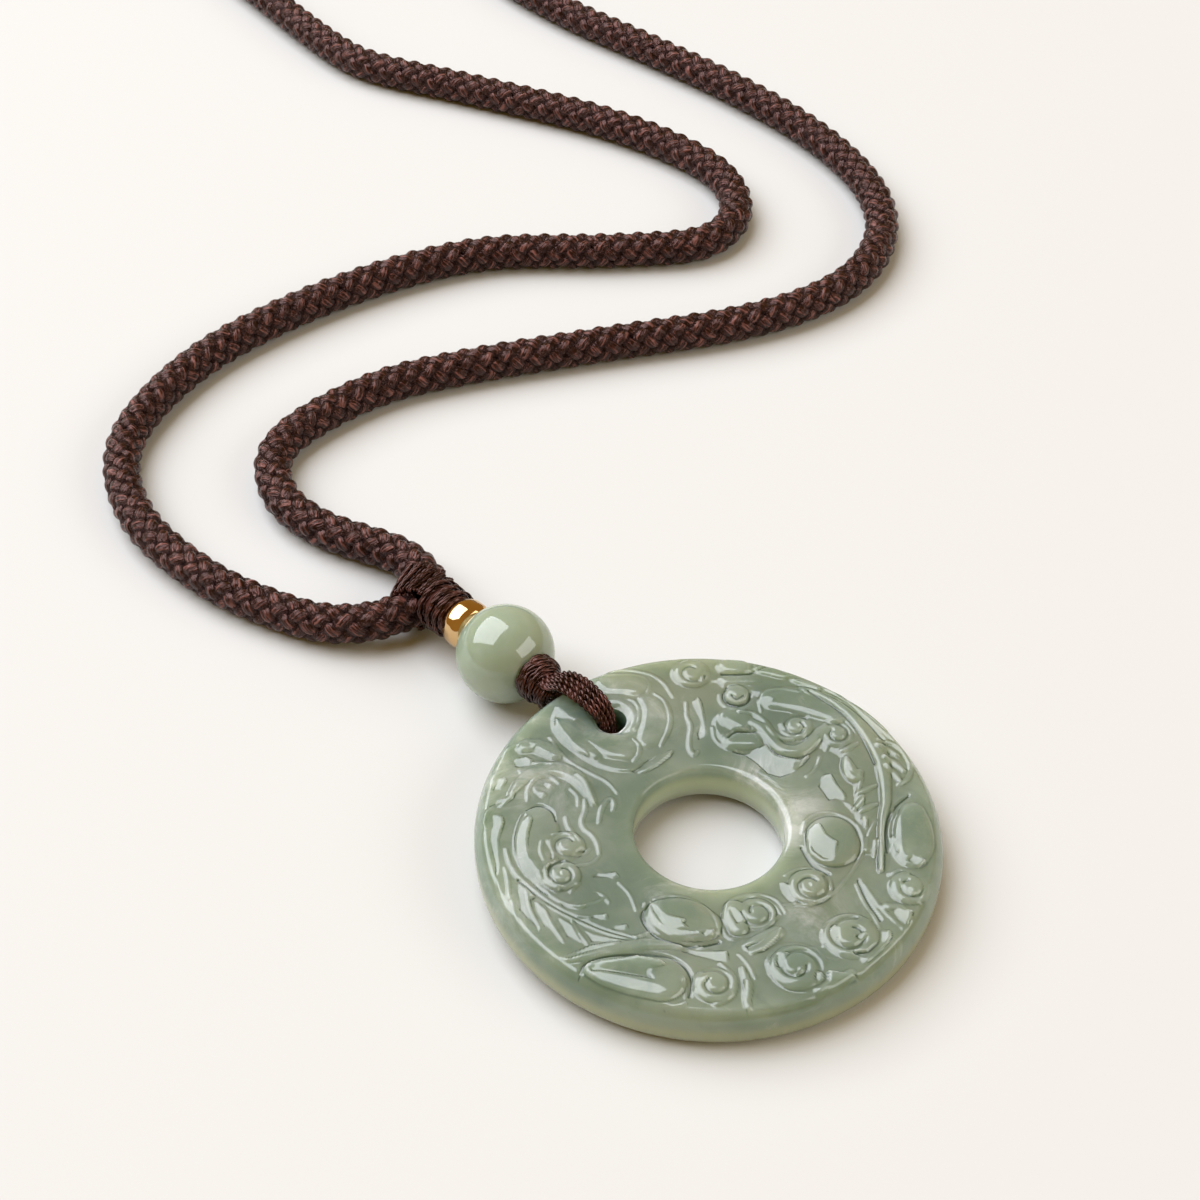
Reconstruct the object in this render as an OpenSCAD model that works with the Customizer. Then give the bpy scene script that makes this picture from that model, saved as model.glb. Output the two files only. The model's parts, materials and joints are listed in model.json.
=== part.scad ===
// Carved jade disc pendant on a braided neck cord, lying on a flat surface.
// The disc is round with a wide centre hole. A flat bundle of fine thread goes through a small hole
// near its rim, out through a whipping, a jade bead, a gold spacer and a second whipping,
// and ends in a bail round the fold of the neck cord.

/* [Disc] */
// Diameter of the jade disc
disc_d = 50; // [44:1:60]
// Thickness of the disc at its plain ground
disc_t = 5; // [4:0.1:7]
// Diameter of the centre hole
bore_d = 16.2; // [12:0.1:20]
// Radius of the rounding on the rim's two edges
rim_r = 1.7; // [1:0.1:2]
// Rounding on the upper edge of the centre hole
bore_edge_r = 0.6; // [0.3:0.1:0.9]
// Height of the highest carving over the ground
relief_h = 1.1; // [0.5:0.1:1.5]
// Diameter of the small hole for the thread
thread_hole_d = 3.4; // [3.2:0.1:4]
// Distance from the rim in to the centre of the small hole
thread_hole_in = 7.1; // [6:0.1:8.5]

/* [Bead and spacer] */
// Diameter of the jade bead
bead_d = 11.4; // [9:0.1:14]
// Length of the jade bead along its hole
bead_l = 10.2; // [8:0.1:12]
// Diameter of the gold spacer
spacer_d = 6; // [5:0.1:7]
// Length of the gold spacer along its hole
spacer_l = 3.6; // [3:0.1:5]
// Roundness of the gold spacer's outside, as the radius of its profile's corners
spacer_round = 1.5; // [0.8:0.1:1.6]

/* [Thread] */
// Width of the flat bundle of thread that goes through the disc
thread_w = 2.8; // [2:0.1:2.9]
// Thickness of the flat bundle of thread
thread_t = 1.3; // [1:0.1:1.5]
// Diameter of the round stem of thread that goes through the bead
stem_d = 2; // [1.5:0.1:2.4]
// Outer diameter of the whipping between the disc and the bead
lower_whip_d = 5.5; // [4.2:0.1:6]
// Length of the whipping between the disc and the bead
lower_whip_l = 2; // [1.6:0.1:3.5]
// Outer diameter of the whipping above the spacer
upper_whip_d = 6.5; // [5:0.1:7]
// Length of the whipping above the spacer
upper_whip_l = 3.9; // [3:0.1:5]
// Diameter of the cord that the whippings are wound of
whip_cord_d = 0.8; // [0.6:0.05:1]
// Outer diameter of the bail round the neck cord's fold
bail_d = 7.3; // [7:0.1:8.5]
// Width of the bail along the neck cord
bail_w = 5.4; // [4.5:0.1:6.5]

/* [Neck cord] */
// Diameter of the braided neck cord
cord_d = 4.6; // [4:0.1:5]

/* [Lay] */
// Direction of the pendant from the disc to the bail, in degrees from +X
hang_turn = 131; // [120:1:140]
// Direction of the small hole from the disc's centre, in degrees from +X
thread_hole_turn = 125.5; // [118:0.5:131]
// Direction of the bail's own axis, in degrees from +X
bail_turn = 70; // [60:1:80]
// Fall of the stem from the bead down to the bail, in degrees
stem_fall = 4.5; // [3:0.5:6]
// Gap between pieces that lie on each other
gap = 0.1; // [0.05:0.01:0.2]

/* [Hidden] */
$fn = 64;

disc_r = disc_d / 2;
bore_r = bore_d / 2;
thread_hole_out = disc_r - thread_hole_in;
seat_h = thread_t + 2 * gap;
// The rim stands on the surface on one side and on the thread on the other.
tilt = asin(seat_h / (disc_r - rim_r + thread_hole_out - thread_hole_d / 2));
lift = (disc_r - rim_r) * sin(tilt) + rim_r * (1 - cos(tilt));

function along(turn) = [cos(turn), sin(turn)];
function back_z(p) = lift + tan(tilt) * (p * along(hang_turn));
function stem_z(s) = bead_d / 2 + (bead_s - s) * tan(stem_fall);
function on_stem(s) = [for (v = s * along(hang_turn)) v];

// Places along the pendant's own line, counted from the disc's centre.
join_s = disc_r + thread_t / 2 + gap;
lower_whip_s = join_s + thread_t / 2 + lower_whip_d / 2 * sin(stem_fall) + gap;
bead_s = lower_whip_s + lower_whip_l + gap + bead_l / 2;
spacer_s = bead_s + bead_l / 2 + gap + spacer_l / 2;
upper_whip_s = spacer_s + spacer_l / 2 + gap;
// The upper whipping's end is hollowed to fit round the bail.
bail_s = upper_whip_s + upper_whip_l + bail_d * 0.35;
bail_at = [on_stem(bail_s)[0], on_stem(bail_s)[1], bail_d / 2];

// The whole is set with the middle of its hard pieces over the origin.
left_x = bail_at.x - bail_d / 2 * abs(sin(bail_turn)) - bail_w / 2 * abs(cos(bail_turn));
far_y = bail_at.y + bail_d / 2 * abs(cos(bail_turn)) + bail_w / 2 * abs(sin(bail_turn));
middle = [(left_x + disc_r) / 2, (far_y - disc_r) / 2, 0];

// Carving. Each lobe is a rise, in hundredths of the relief, and a chain of points
// [x, y, half width] in hundredths of the disc's radius, seen from above.
lobes = [
    // two bosses below the hole, one beside it and one at the right edge
    [90, [[-19, -45.5, 8.4], [-7, -51.5, 9.2]]],
    [90, [[-46, -75.5, 4], [-38, -77, 7.5], [-21, -80, 9.5]]],
    [100, [[51.5, -3, 11], [52, -11, 11.4]]],
    [85, [[88, 9, 6], [86, -2, 8.6], [85.5, -10, 8]]],
    // comma, leaf and lobes along the lower edge
    [70, [[-20, -62.5, 1.8], [-1, -67, 3], [6.5, -79, 2.6], [4, -88, 2]]],
    [62, [[11, -68, 1.6], [13, -81, 3], [13, -93, 1.6]]],
    [55, [[16, -62, 2.8], [21, -59, 4], [26, -55, 2.8]]],
    [80, [[8.5, -43, 3.8], [9, -54, 4]]],
    [75, [[61, -30, 1.8], [67, -47, 2.4], [66.5, -60, 2.4]]],
    [72, [[57, -66, 2], [67, -64, 3.2], [72, -54, 2]]],
    [70, [[29.5, -27, 2], [32, -36, 2.8], [36, -41, 2]]],
    // dragon: body ridge, mane, hair, barbs, whisker, snout, eye and curls
    [95, [[48, 78.5, 2.4], [62, 67, 3.4], [72.5, 47, 3.4], [75.8, 26, 2.4], [73.6, 7, 1.8]]],
    [80, [[31, 71.5, 6.5], [46, 69.5, 6.5], [60, 61.5, 3]]],
    [70, [[66, 67, 1.8], [74, 57, 2.6], [83, 47.5, 1.8]]],
    [68, [[77, 44, 2], [82, 36, 3], [84, 27, 2]]],
    [85, [[19, 60, 3], [26, 57, 3], [31, 46, 3.2], [38, 43, 3.2], [47, 51, 3], [56.5, 59, 2.6]]],
    [80, [[10, 60, 3.4], [20, 58.5, 4]]],
    [80, [[12, 50.5, 3.4], [22, 49, 4.2]]],
    [100, [[14, 74.5, 5.6]]],
    [62, [[61.5, 36, 2.2], [64, 26, 2.6], [68, 20, 2.2]]],
    [60, [[66, 14, 2.2], [67, -8, 2]]],
    [75, [[-9, 88.5, 5]]],
    [80, [[12, 91, 4], [18, 90.5, 3.8]]],
    [65, [[23, 90, 2.2], [33, 87, 2.4]]],
    [75, [[-3, 75, 2], [-3, 64, 3], [-3.5, 51, 2]]],
    // cloud round the small hole
    [55, [[-40, 89, 2], [-25, 87.5, 2.4], [-14, 76, 2.6], [-11, 57, 2.6], [-18, 41, 2.4], [-31, 32, 1.8]]],
    [72, [[-37, 80, 5.6], [-32, 80, 6.4]]],
    [68, [[-20, 73, 2], [-15, 62, 2.4], [-20, 46, 2]]],
    [80, [[-35, 72.3, 2], [-29.6, 66, 2.4], [-32, 55, 2]]],
    [80, [[-48, 46.5, 5.5], [-36, 43, 6]]],
    [66, [[-60.5, 61, 4.6]]],
    [78, [[-66.5, 59, 2], [-61, 47, 2.6], [-52, 39.5, 2]]],
    [60, [[-67, 47, 1.8], [-52, 31, 2.2], [-38, 19, 1.8]]],
    // phoenix: crest, head, plume, hooks and breast
    [65, [[-90, 34, 2], [-86, 41.5, 2.6], [-79, 46, 2]]],
    [80, [[-81.5, 34.5, 4], [-72, 34, 2.4]]],
    [72, [[-93, 18.5, 2], [-88.5, 24.5, 2.8]]],
    [75, [[-95, 5, 2], [-89, 11.5, 2.6], [-83.5, 16.5, 2]]],
    [75, [[-89, 3, 2.4], [-90.5, -10, 2.8], [-89.6, -26, 1.8]]],
    [95, [[-69, 20.3, 5]]],
    [78, [[-79, 21, 2], [-69, 29, 3], [-57, 27, 3.2], [-49.5, 14, 2]]],
    [72, [[-53, 12, 2], [-54, 2, 2.4], [-47.5, -8, 2.4], [-49, -17, 2], [-60, -21, 2]]],
    [66, [[-61, 4, 2.2], [-56, -7, 2.2]]],
    [62, [[-48, 0, 1.8], [-43, 15.5, 2.4]]],
    [88, [[-77, 3, 2.2], [-80, -10, 3.4], [-76, -26, 3], [-72, -32, 2]]],
    [75, [[-60, -11, 6.2]]],
    // tail feather: stem and barbs
    [80, [[-84, -19, 1.8], [-76, -34.5, 2.6], [-61, -47.5, 2.8], [-43, -56.3, 2.4], [-35, -59, 1.8]]],
    [70, [[-79.5, -34, 2.4], [-76, -45, 2.8], [-71, -55.5, 1.8]]],
    [70, [[-70.5, -43, 2.2], [-67, -51, 2.6], [-62, -59, 1.8]]],
    [70, [[-60, -51, 2.4], [-55, -58.5, 2.2], [-51, -62, 1.8]]],
    [68, [[-60, -66.5, 1.8], [-46.5, -63.3, 2.4], [-39, -61.5, 1.8]]],
    [70, [[-62, -42, 1.8], [-52, -42, 2]]],
    [70, [[-54, -47.3, 1.8], [-44, -47.2, 2.4]]],
    [66, [[-40, -51, 2.4], [-32, -49, 2]]],
    [72, [[-56, -38, 1.8], [-47, -35.3, 2.2], [-43.5, -41, 1.8]]],
    [75, [[-48, -26.8, 2.4], [-40.5, -25.5, 2.4]]],
];
// Each scroll is a dome with a spiral ridge: rise, x, y, radius, half width of the ridge,
// start in degrees and turns, more than 0 for counterclockwise.
scrolls = [
    [70, -1.5, -82.3, 7.4, 2.2, 160, -0.9],
    [75, 17, -47, 8.8, 2.4, -125, 0.9],
    [72, 42, -31, 9.4, 2.4, -10, -1],
    [78, 55.5, -57, 11, 2.6, 90, 0.9],
    [76, 33, -72.5, 11.4, 2.6, -60, 1],
    [70, 83, -32, 6.8, 2.2, 120, -0.9],
    [75, 40, 57, 7.4, 2.2, 20, 0.9],
    [75, 57.5, 53, 6.4, 2, 120, -0.8],
    [72, -63, -28, 7, 2, 125, 0.9],
];
// The hole's share of the radius on the chart that the carving was drawn on.
chart_bore = 0.324;
// Height of a scroll's dome as a share of its ridge's.
scroll_dome = 0.55;
scroll_steps = 10;
// Rings of the disc's faceted skin, from the hole outwards, and facets round it.
field_rings = 21;
disc_facets = 144;
// The carving fades out from this share of the radius to the rim.
fade_from = 0.955;

function clamp01(v) = min(1, max(0, v));
function flat(p) = [p[0], p[1]];
function seg_q(p, a, b) =
    let(u = flat(b) - flat(a), t = clamp01((p - flat(a)) * u / (u * u)))
    norm(p - flat(a) - t * u) / (a[2] + t * (b[2] - a[2]));
function lobe_q(p, chain) = len(chain) == 1
    ? norm(p - flat(chain[0])) / chain[0][2]
    : min([for (i = [0 : len(chain) - 2]) seg_q(p, chain[i], chain[i + 1])]);
function pillow(q) = q >= 1 ? 0 : pow(1 - q * q, 0.6);
function bend(p0, p1, p2, p3, t) =
    0.5 * (2 * p1 + (p2 - p0) * t + (2 * p0 - 5 * p1 + 4 * p2 - p3) * t * t
           + (3 * p1 - p0 - 3 * p2 + p3) * t * t * t);
// A smooth curve through the points, with so many steps from each to the next.
function smooth(pts, steps) = len(pts) < 3 ? pts :
    let(n = len(pts), q = concat([2 * pts[0] - pts[1]], pts, [2 * pts[n - 1] - pts[n - 2]]))
    [for (i = [1 : n - 1], k = [0 : steps - 1]) bend(q[i - 1], q[i], q[i + 1], q[i + 2], k / steps),
     pts[n - 1]];
function smooth_loop(pts, steps) =
    let(n = len(pts))
    [for (i = [0 : n - 1], k = [0 : steps - 1])
        bend(pts[(i + n - 1) % n], pts[i], pts[(i + 1) % n], pts[(i + 2) % n], k / steps)];
function spiral(row) =
    [for (k = [0 : scroll_steps])
        let(t = k / scroll_steps, r = (row[3] - row[4]) * pow(1 - t, 0.7), a = row[5] + 360 * row[6] * t)
        [row[1] + r * cos(a), row[2] + r * sin(a), row[4] * (1 - 0.3 * t)]];
// A chain with the circle that holds it: rise, centre, radius and chain.
function held(rise, chain) =
    let(c = [for (k = [0, 1]) let(v = [for (p = chain) p[k]]) (min(v) + max(v)) / 2])
    [rise, c, max([for (p = chain) norm(flat(p) - c) + p[2]]), chain];
forms = concat(
    [for (row = lobes) held(row[0], smooth(row[1], 2))],
    [for (row = scrolls) held(row[0], spiral(row))],
    [for (row = scrolls) held(row[0] * scroll_dome, [[row[1], row[2], row[3]]])]);
function carved(p) =
    max([0, for (f = forms) if (norm(p - f[1]) < f[2]) f[0] * pillow(lobe_q(p, f[3]))]) / 100;
// Share of the radius on the chart for a radius on the disc.
function chart_r(r) = 100 * (chart_bore + (1 - chart_bore) * (r - bore_r) / (disc_r - bore_r));

// The hole's straight wall ends in a narrow step, from which its edge is rounded.
edge_from = bore_r + gap;
field_from = edge_from + bore_edge_r;
field_to = disc_r - rim_r;
function relief_at(r, a) =
    let(c = chart_r(r), fade = clamp01((1 - r / disc_r) / (1 - fade_from)))
    r <= field_from ? 0 : relief_h * fade * carved([c * cos(a), c * sin(a)]);
// Height of the upper surface before it is carved.
function ground_z(r) =
    r <= edge_from
        ? disc_t - bore_edge_r
        : r < field_from
            ? disc_t - bore_edge_r + sqrt(pow(bore_edge_r, 2) - pow(field_from - r, 2))
            : r > field_to
                ? disc_t - rim_r + sqrt(pow(rim_r, 2) - pow(r - field_to, 2))
                : disc_t;
top_rings = concat(
    [bore_r - gap, edge_from, edge_from + 0.3 * bore_edge_r],
    [for (k = [0 : field_rings]) field_from + (field_to - field_from) * k / field_rings],
    [for (a = [25, 50, 72]) field_to + rim_r * sin(a)]);
side_rings = [for (a = [0, 30, 60, 90]) [field_to + rim_r * cos(a), rim_r - rim_r * sin(a)]];
function disc_ring(k, a) =
    k < len(top_rings)
        ? let(r = top_rings[k]) [r * cos(a), r * sin(a), ground_z(r) + relief_at(r, a)]
        : k == len(top_rings)
            ? [disc_r * cos(a), disc_r * sin(a), disc_t - rim_r]
            : k <= len(top_rings) + len(side_rings)
                ? let(s = side_rings[k - len(top_rings) - 1]) [s[0] * cos(a), s[0] * sin(a), s[1]]
                : [(bore_r - gap) * cos(a), (bore_r - gap) * sin(a), 0];
disc_rings = len(top_rings) + len(side_rings) + 2;

// A closed skin over rings of points: rings times sides, joined round in both ways.
module ring_body(rings) {
    n = len(rings);
    m = len(rings[0]);
    faces = [for (i = [0 : n - 1], j = [0 : m - 1], half = [0, 1])
        let(i2 = (i + 1) % n, j2 = (j + 1) % m)
        half == 0 ? [i * m + j, i2 * m + j, i2 * m + j2] : [i * m + j, i2 * m + j2, i * m + j2]];
    polyhedron([for (ring = rings, p = ring) p], faces, 4);
}
// A tube with flat ends over rings of points.
module tube_body(rings) {
    n = len(rings);
    m = len(rings[0]);
    faces = concat(
        [[for (j = [0 : m - 1]) m - 1 - j]],
        [for (i = [0 : n - 2], j = [0 : m - 1], half = [0, 1])
            let(j2 = (j + 1) % m)
            half == 0 ? [i * m + j, i * m + j2, (i + 1) * m + j2]
                      : [i * m + j, (i + 1) * m + j2, (i + 1) * m + j]],
        [[for (j = [0 : m - 1]) (n - 1) * m + j]]);
    polyhedron([for (ring = rings, p = ring) p], faces, 4);
}
module placed() translate(-middle) children();
// Stands a piece on the pendant's line, with its axis along the stem and z upwards from the disc.
module on_line(s) {
    translate([on_stem(s)[0], on_stem(s)[1], stem_z(s)])
        rotate([0, 90 + stem_fall, hang_turn]) children();
}
module whipping(outer_d, length) {
    turns = max(2, round(length / whip_cord_d));
    pitch = (length - whip_cord_d) / (turns - 1);
    rotate_extrude() difference() {
        union() {
            translate([0, whip_cord_d / 2]) square([outer_d / 2 - whip_cord_d / 2, length - whip_cord_d]);
            for (k = [0 : turns - 1])
                translate([outer_d / 2 - whip_cord_d / 2, whip_cord_d / 2 + k * pitch])
                    circle(d = whip_cord_d);
        }
        translate([-outer_d, -length]) square([outer_d + stem_d / 2 + gap, 3 * length]);
    }
}

module jade_disc() {
    color("darkseagreen") placed() translate([0, 0, lift])
    rotate(a = tilt, v = [sin(hang_turn), -cos(hang_turn), 0]) difference() {
        ring_body([for (k = [0 : disc_rings - 1])
            [for (j = [0 : disc_facets - 1]) disc_ring(k, j * 360 / disc_facets)]]);
        translate([0, 0, -1]) cylinder(r = bore_r, h = disc_t + relief_h + 2);
        translate([thread_hole_out * cos(thread_hole_turn), thread_hole_out * sin(thread_hole_turn), -1])
            cylinder(d = thread_hole_d, h = disc_t + relief_h + 2);
    }
}

// Half height of the bead's flat end, where its hole opens.
bead_end_r = bead_d * 0.2;
// The bead's side is one arc through both ends and the widest place.
bead_sag = bead_d / 2 - bead_end_r;
bead_arc_r = (bead_sag * bead_sag + bead_l * bead_l / 4) / (2 * bead_sag);
module jade_bead() {
    color("darkseagreen") placed() on_line(bead_s) rotate_extrude() difference() {
        intersection() {
            translate([bead_d / 2 - bead_arc_r, 0]) circle(r = bead_arc_r);
            translate([0, -bead_l / 2]) square([bead_d, bead_l]);
        }
        translate([-bead_d, -bead_l]) square([bead_d + stem_d / 2 + gap, 2 * bead_l]);
    }
}

module gold_spacer() {
    corner = min(spacer_round, spacer_l / 2 - 0.1);
    color("gold") placed() on_line(spacer_s) rotate_extrude() difference() {
        union() {
            translate([0, -spacer_l / 2]) square([spacer_d / 2 - corner, spacer_l]);
            translate([0, corner - spacer_l / 2]) square([spacer_d / 2, spacer_l - 2 * corner]);
            for (side = [-1, 1])
                translate([spacer_d / 2 - corner, side * (spacer_l / 2 - corner)]) circle(r = corner);
        }
        translate([-spacer_d, -spacer_l]) square([spacer_d + stem_d / 2 + gap, 2 * spacer_l]);
    }
}

module lower_whipping() {
    color("#3a1f1c") placed() on_line(lower_whip_s) whipping(lower_whip_d, lower_whip_l);
}
module upper_whipping() {
    color("#3a1f1c") placed() difference() {
        on_line(upper_whip_s) whipping(upper_whip_d, upper_whip_l);
        bail_form(gap);
        socket_forms();
    }
}

// The flat bundle lies in the upright plane from the small hole to the place where its two legs join.
hole_at = thread_hole_out * along(thread_hole_turn);
join_at = on_stem(join_s);
reach = norm(join_at - hole_at);
way = (join_at - hole_at) / reach;
side = [-way[1], way[0]];
rest_z = gap + thread_t / 2;
top_z = back_z(hole_at) + disc_t;
over_z = top_z + relief_h + gap + thread_t / 2;
hole_q = (thread_hole_d - thread_t) / 2 - 3 * gap;
// Points [distance from the small hole, height] round the loop, down through the hole first.
loop_pts = [
    [hole_q * 0.4, top_z - 0.2 * disc_t],
    [hole_q * 0.2, top_z - 0.5 * disc_t],
    [hole_q * 0.3, rest_z + 1.6 * thread_t],
    [hole_q + 0.05 * thread_t, rest_z + 0.3 * thread_t],
    [0.25 * reach, rest_z],
    [0.5 * reach, rest_z],
    [0.78 * reach, rest_z + 0.1 * thread_t],
    [reach - 0.25 * thread_t, rest_z + 0.9 * thread_t],
    [reach, rest_z + 0.45 * disc_t],
    [reach, stem_z(join_s) - 0.4 * thread_t],
    [reach - 0.35 * thread_t, stem_z(join_s) + 0.6 * thread_t],
    [0.78 * reach, over_z - 0.1 * thread_t],
    [0.52 * reach, over_z],
    [0.28 * reach, over_z - 0.2 * thread_t],
    [hole_q + 0.1 * thread_t, top_z + 0.5 * thread_t],
];
loop_sides = 12;
function loop_ring(a, b, c) =
    let(d = (c - a) / norm(c - a), out = [d[1], -d[0]])
    [for (j = [0 : loop_sides - 1])
        let(t = 360 * j / loop_sides,
            q = b + out * thread_t / 2 * cos(t),
            xy = hole_at + way * q[0] + side * thread_w / 2 * sin(t))
        [xy[0], xy[1], q[1]]];
// Sockets for the neck cord's two ends: where each starts, from the bail's centre, and the
// direction in degrees from +X in which it opens.
sockets = [[1.3, 0.8, 114], [-0.7, -1.8, 205]];
// The sockets open downwards by so many degrees, as the cord falls to the surface.
socket_fall = 5;
module bail_form(grow) {
    translate(bail_at) rotate([90, 0, bail_turn - 90])
        cylinder(d = bail_d + 2 * grow, h = bail_w + 2 * grow, center = true);
}
module socket_forms() {
    for (e = sockets)
        translate(bail_at + [e[0], e[1], 0]) rotate([0, 90 + socket_fall, e[2]])
            translate([0, 0, -gap]) cylinder(d = cord_d + 2 * gap, h = bail_d);
}
module hanging_thread() {
    path = smooth_loop(loop_pts, 3);
    n = len(path);
    stem_l = (bail_s - join_s) / cos(stem_fall);
    color("#3a1f1c") placed() {
        ring_body([for (i = [0 : n - 1]) loop_ring(path[(i + n - 1) % n], path[i], path[(i + 1) % n])]);
        difference() {
            union() {
                on_line(join_s) cylinder(d = stem_d, h = stem_l);
                bail_form(0);
            }
            socket_forms();
        }
    }
}

// Route of the neck cord from its one end in the bail, round its whole loop and back to the bail,
// counted from the disc's centre.
cord_route = [
    [-31, 38], [-33, 42.2], [-35.7, 45.2], [-40.2, 47.7], [-45.5, 50.5], [-50.5, 55.5], [-52.5, 63],
    [-49.5, 69.5], [-40, 77.5], [-28.5, 82], [-11.5, 86.5], [6.5, 91], [18, 96.5], [25, 104],
    [28, 114], [26, 125], [19, 137], [8, 149], [-4, 159.5], [-17, 170.5], [-28, 183], [-36, 200],
    [-42, 219], [-53, 230], [-68, 230], [-79, 219], [-80, 203], [-73.5, 188], [-63.5, 174],
    [-52, 159.5], [-45, 154], [-31.5, 148.5], [-12, 140], [0.5, 131.5], [6.5, 124], [7.5, 115.5],
    [2.5, 109.2], [-10, 107.5], [-28.5, 106.5], [-46, 98.5], [-61, 86.5], [-69, 74.5], [-71.5, 63.5],
    [-67.5, 51.5], [-58, 41.3], [-48, 35.3], [-42.5, 33.3], [-37.3, 33.5], [-33, 35.4],
];
cord_sides = 10;
// Length of route from one ring of the tube to the next, at most.
cord_step = 2.4 * cord_d;
// The cord lies on the surface, and its two ends rise into the bail.
cord_lie = cord_d / 2 + gap / 2;
function route_z(i) =
    let(e = min(i, len(cord_route) - 1 - i))
    e == 0 ? bail_d / 2 : cord_lie + (bail_d / 2 - cord_lie) * max(0, 1 - e * 0.3);
function smooth_by(pts, step) =
    let(n = len(pts), q = concat([2 * pts[0] - pts[1]], pts, [2 * pts[n - 1] - pts[n - 2]]))
    [for (i = [1 : n - 1], steps = ceil(norm(q[i + 1] - q[i]) / step), k = [0 : steps - 1])
        bend(q[i - 1], q[i], q[i + 1], q[i + 2], k / steps),
     pts[n - 1]];
function cord_ring(a, b, c) =
    let(d = (c - a) / norm(c - a), out = [d[1], -d[0], 0] / norm([d[0], d[1]]), up = cross(out, d))
    [for (j = [0 : cord_sides - 1])
        let(t = 360 * (j + 0.5) / cord_sides) b + cord_d / 2 * (out * cos(t) + up * sin(t))];
module neck_cord() {
    pts = [for (i = [0 : len(cord_route) - 1]) [cord_route[i][0], cord_route[i][1], route_z(i)]];
    path = smooth_by(pts, cord_step);
    n = len(path);
    color("#4a2a26") placed()
        tube_body([for (i = [0 : n - 1])
            cord_ring(path[max(0, i - 1)], path[i], path[min(n - 1, i + 1)])]);
}

jade_disc();
jade_bead();
gold_spacer();
hanging_thread();
lower_whipping();
upper_whipping();
neck_cord();
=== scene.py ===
"""Looks of a carved jade disc pendant on its braided neck cord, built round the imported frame."""
import json
import math
import random

import bmesh
import bpy
import numpy as np
from mathutils import Matrix, Vector


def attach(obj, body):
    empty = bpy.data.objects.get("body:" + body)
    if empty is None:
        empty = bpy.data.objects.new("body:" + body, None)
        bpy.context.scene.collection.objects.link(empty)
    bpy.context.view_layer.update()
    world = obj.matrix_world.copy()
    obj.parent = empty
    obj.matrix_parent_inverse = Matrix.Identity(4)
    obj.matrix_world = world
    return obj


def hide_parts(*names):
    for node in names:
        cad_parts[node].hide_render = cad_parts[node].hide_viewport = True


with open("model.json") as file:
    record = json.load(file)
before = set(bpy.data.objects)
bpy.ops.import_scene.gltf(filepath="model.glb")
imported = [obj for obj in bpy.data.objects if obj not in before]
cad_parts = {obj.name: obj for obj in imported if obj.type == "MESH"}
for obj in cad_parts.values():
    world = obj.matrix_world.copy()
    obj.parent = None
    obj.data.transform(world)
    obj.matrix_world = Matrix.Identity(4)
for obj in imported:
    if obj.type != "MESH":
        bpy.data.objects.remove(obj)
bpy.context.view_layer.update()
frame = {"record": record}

MM = 0.001
random.seed(7)


def any_turn():
    """Where a thread's twist starts, in radians."""
    return random.uniform(0, 6)


# ---------------------------------------------------------------- places that part.scad gives
# Lengths in mm. Each _S is a distance along the pendant's line, from the disc's centre.
DISC_R, DISC_T, BORE_R = 25.0, 5.0, 8.1
RIM_R, EDGE_R, RELIEF = 1.7, 0.7, 1.1
THREAD_HOLE_OUT, THREAD_HOLE_TURN, THREAD_HOLE_R = 17.9, math.radians(125.5), 1.7
BEAD_D, BEAD_L = 11.4, 10.2
SPACER_D, SPACER_L, SPACER_ROUND = 6.0, 3.6, 1.5
STEM_HOLE_R = 1.1
HANG, FALL = math.radians(131), math.radians(4.5)
JOIN_S, LOWER_S, BEAD_S, SPACER_S = 25.75, 26.716, 33.916, 40.916
UPPER_S, STEM_END_S, BAIL_S = 42.816, 47.2, 49.271
LOWER_L, UPPER_D, UPPER_L = 2.0, 6.5, 3.9
BAIL_D, BAIL_W, BAIL_TURN = 7.3, 5.4, math.radians(70)
THREAD_W, THREAD_T = 2.8, 1.3
CORD_D, CORD_LIE = 4.6, 2.35

hole = next(m for m in frame["record"]["mounts"] if m["name"] == "centre_hole")
disc_up = Vector(hole["axis"])
# The middle of the disc's back: half of the hole's stated wall below its middle.
disc_back = Vector(hole["pos_m"]) - disc_up * hole["dims"]["length_mm"] / 2 * MM
disc_turn = Vector((0, 0, 1)).rotation_difference(disc_up)
disc_place = Matrix.Translation(disc_back) @ disc_turn.to_matrix().to_4x4()
# The pendant's own line starts on the surface, under the disc's centre.
line_foot = Vector((disc_back.x, disc_back.y, 0))


def aimed(turn):
    """The direction of an angle, seen from above."""
    return np.array([math.cos(turn), math.sin(turn)])


line_way = aimed(HANG)
thread_hole = THREAD_HOLE_OUT * aimed(THREAD_HOLE_TURN)


def stem_z(s):
    """Height of the stem's middle: it falls from the bead towards the cord."""
    return BEAD_D / 2 + (BEAD_S - s) * math.tan(FALL)


def on_line(s, z=None):
    """A place on the pendant's line, in mm from the disc's centre, as a point in metres."""
    height = stem_z(s) if z is None else z
    return line_foot + Vector((*(s * line_way), height)) * MM


def line_place(s):
    """The frame of a piece on the stem: z along it, away from the disc."""
    return (Matrix.Translation(on_line(s)) @ Matrix.Rotation(HANG, 4, "Z")
            @ Matrix.Rotation(math.pi / 2 + FALL, 4, "Y"))


# ---------------------------------------------------------------- camera
camera = bpy.data.objects.new("camera", bpy.data.cameras.new("camera"))
bpy.context.scene.collection.objects.link(camera)
camera.data.lens, camera.data.sensor_width, camera.data.clip_start = 75, 36, 0.01
camera.location = (-0.00566, -0.18279, 0.207)
LOOKS_DOWN = 43.9
camera.rotation_euler = (math.radians(90 - LOOKS_DOWN), 0, 0)
bpy.context.scene.camera = camera


# ---------------------------------------------------------------- lines and tubes
def unit(v):
    return v / np.linalg.norm(v, axis=-1, keepdims=True)


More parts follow.
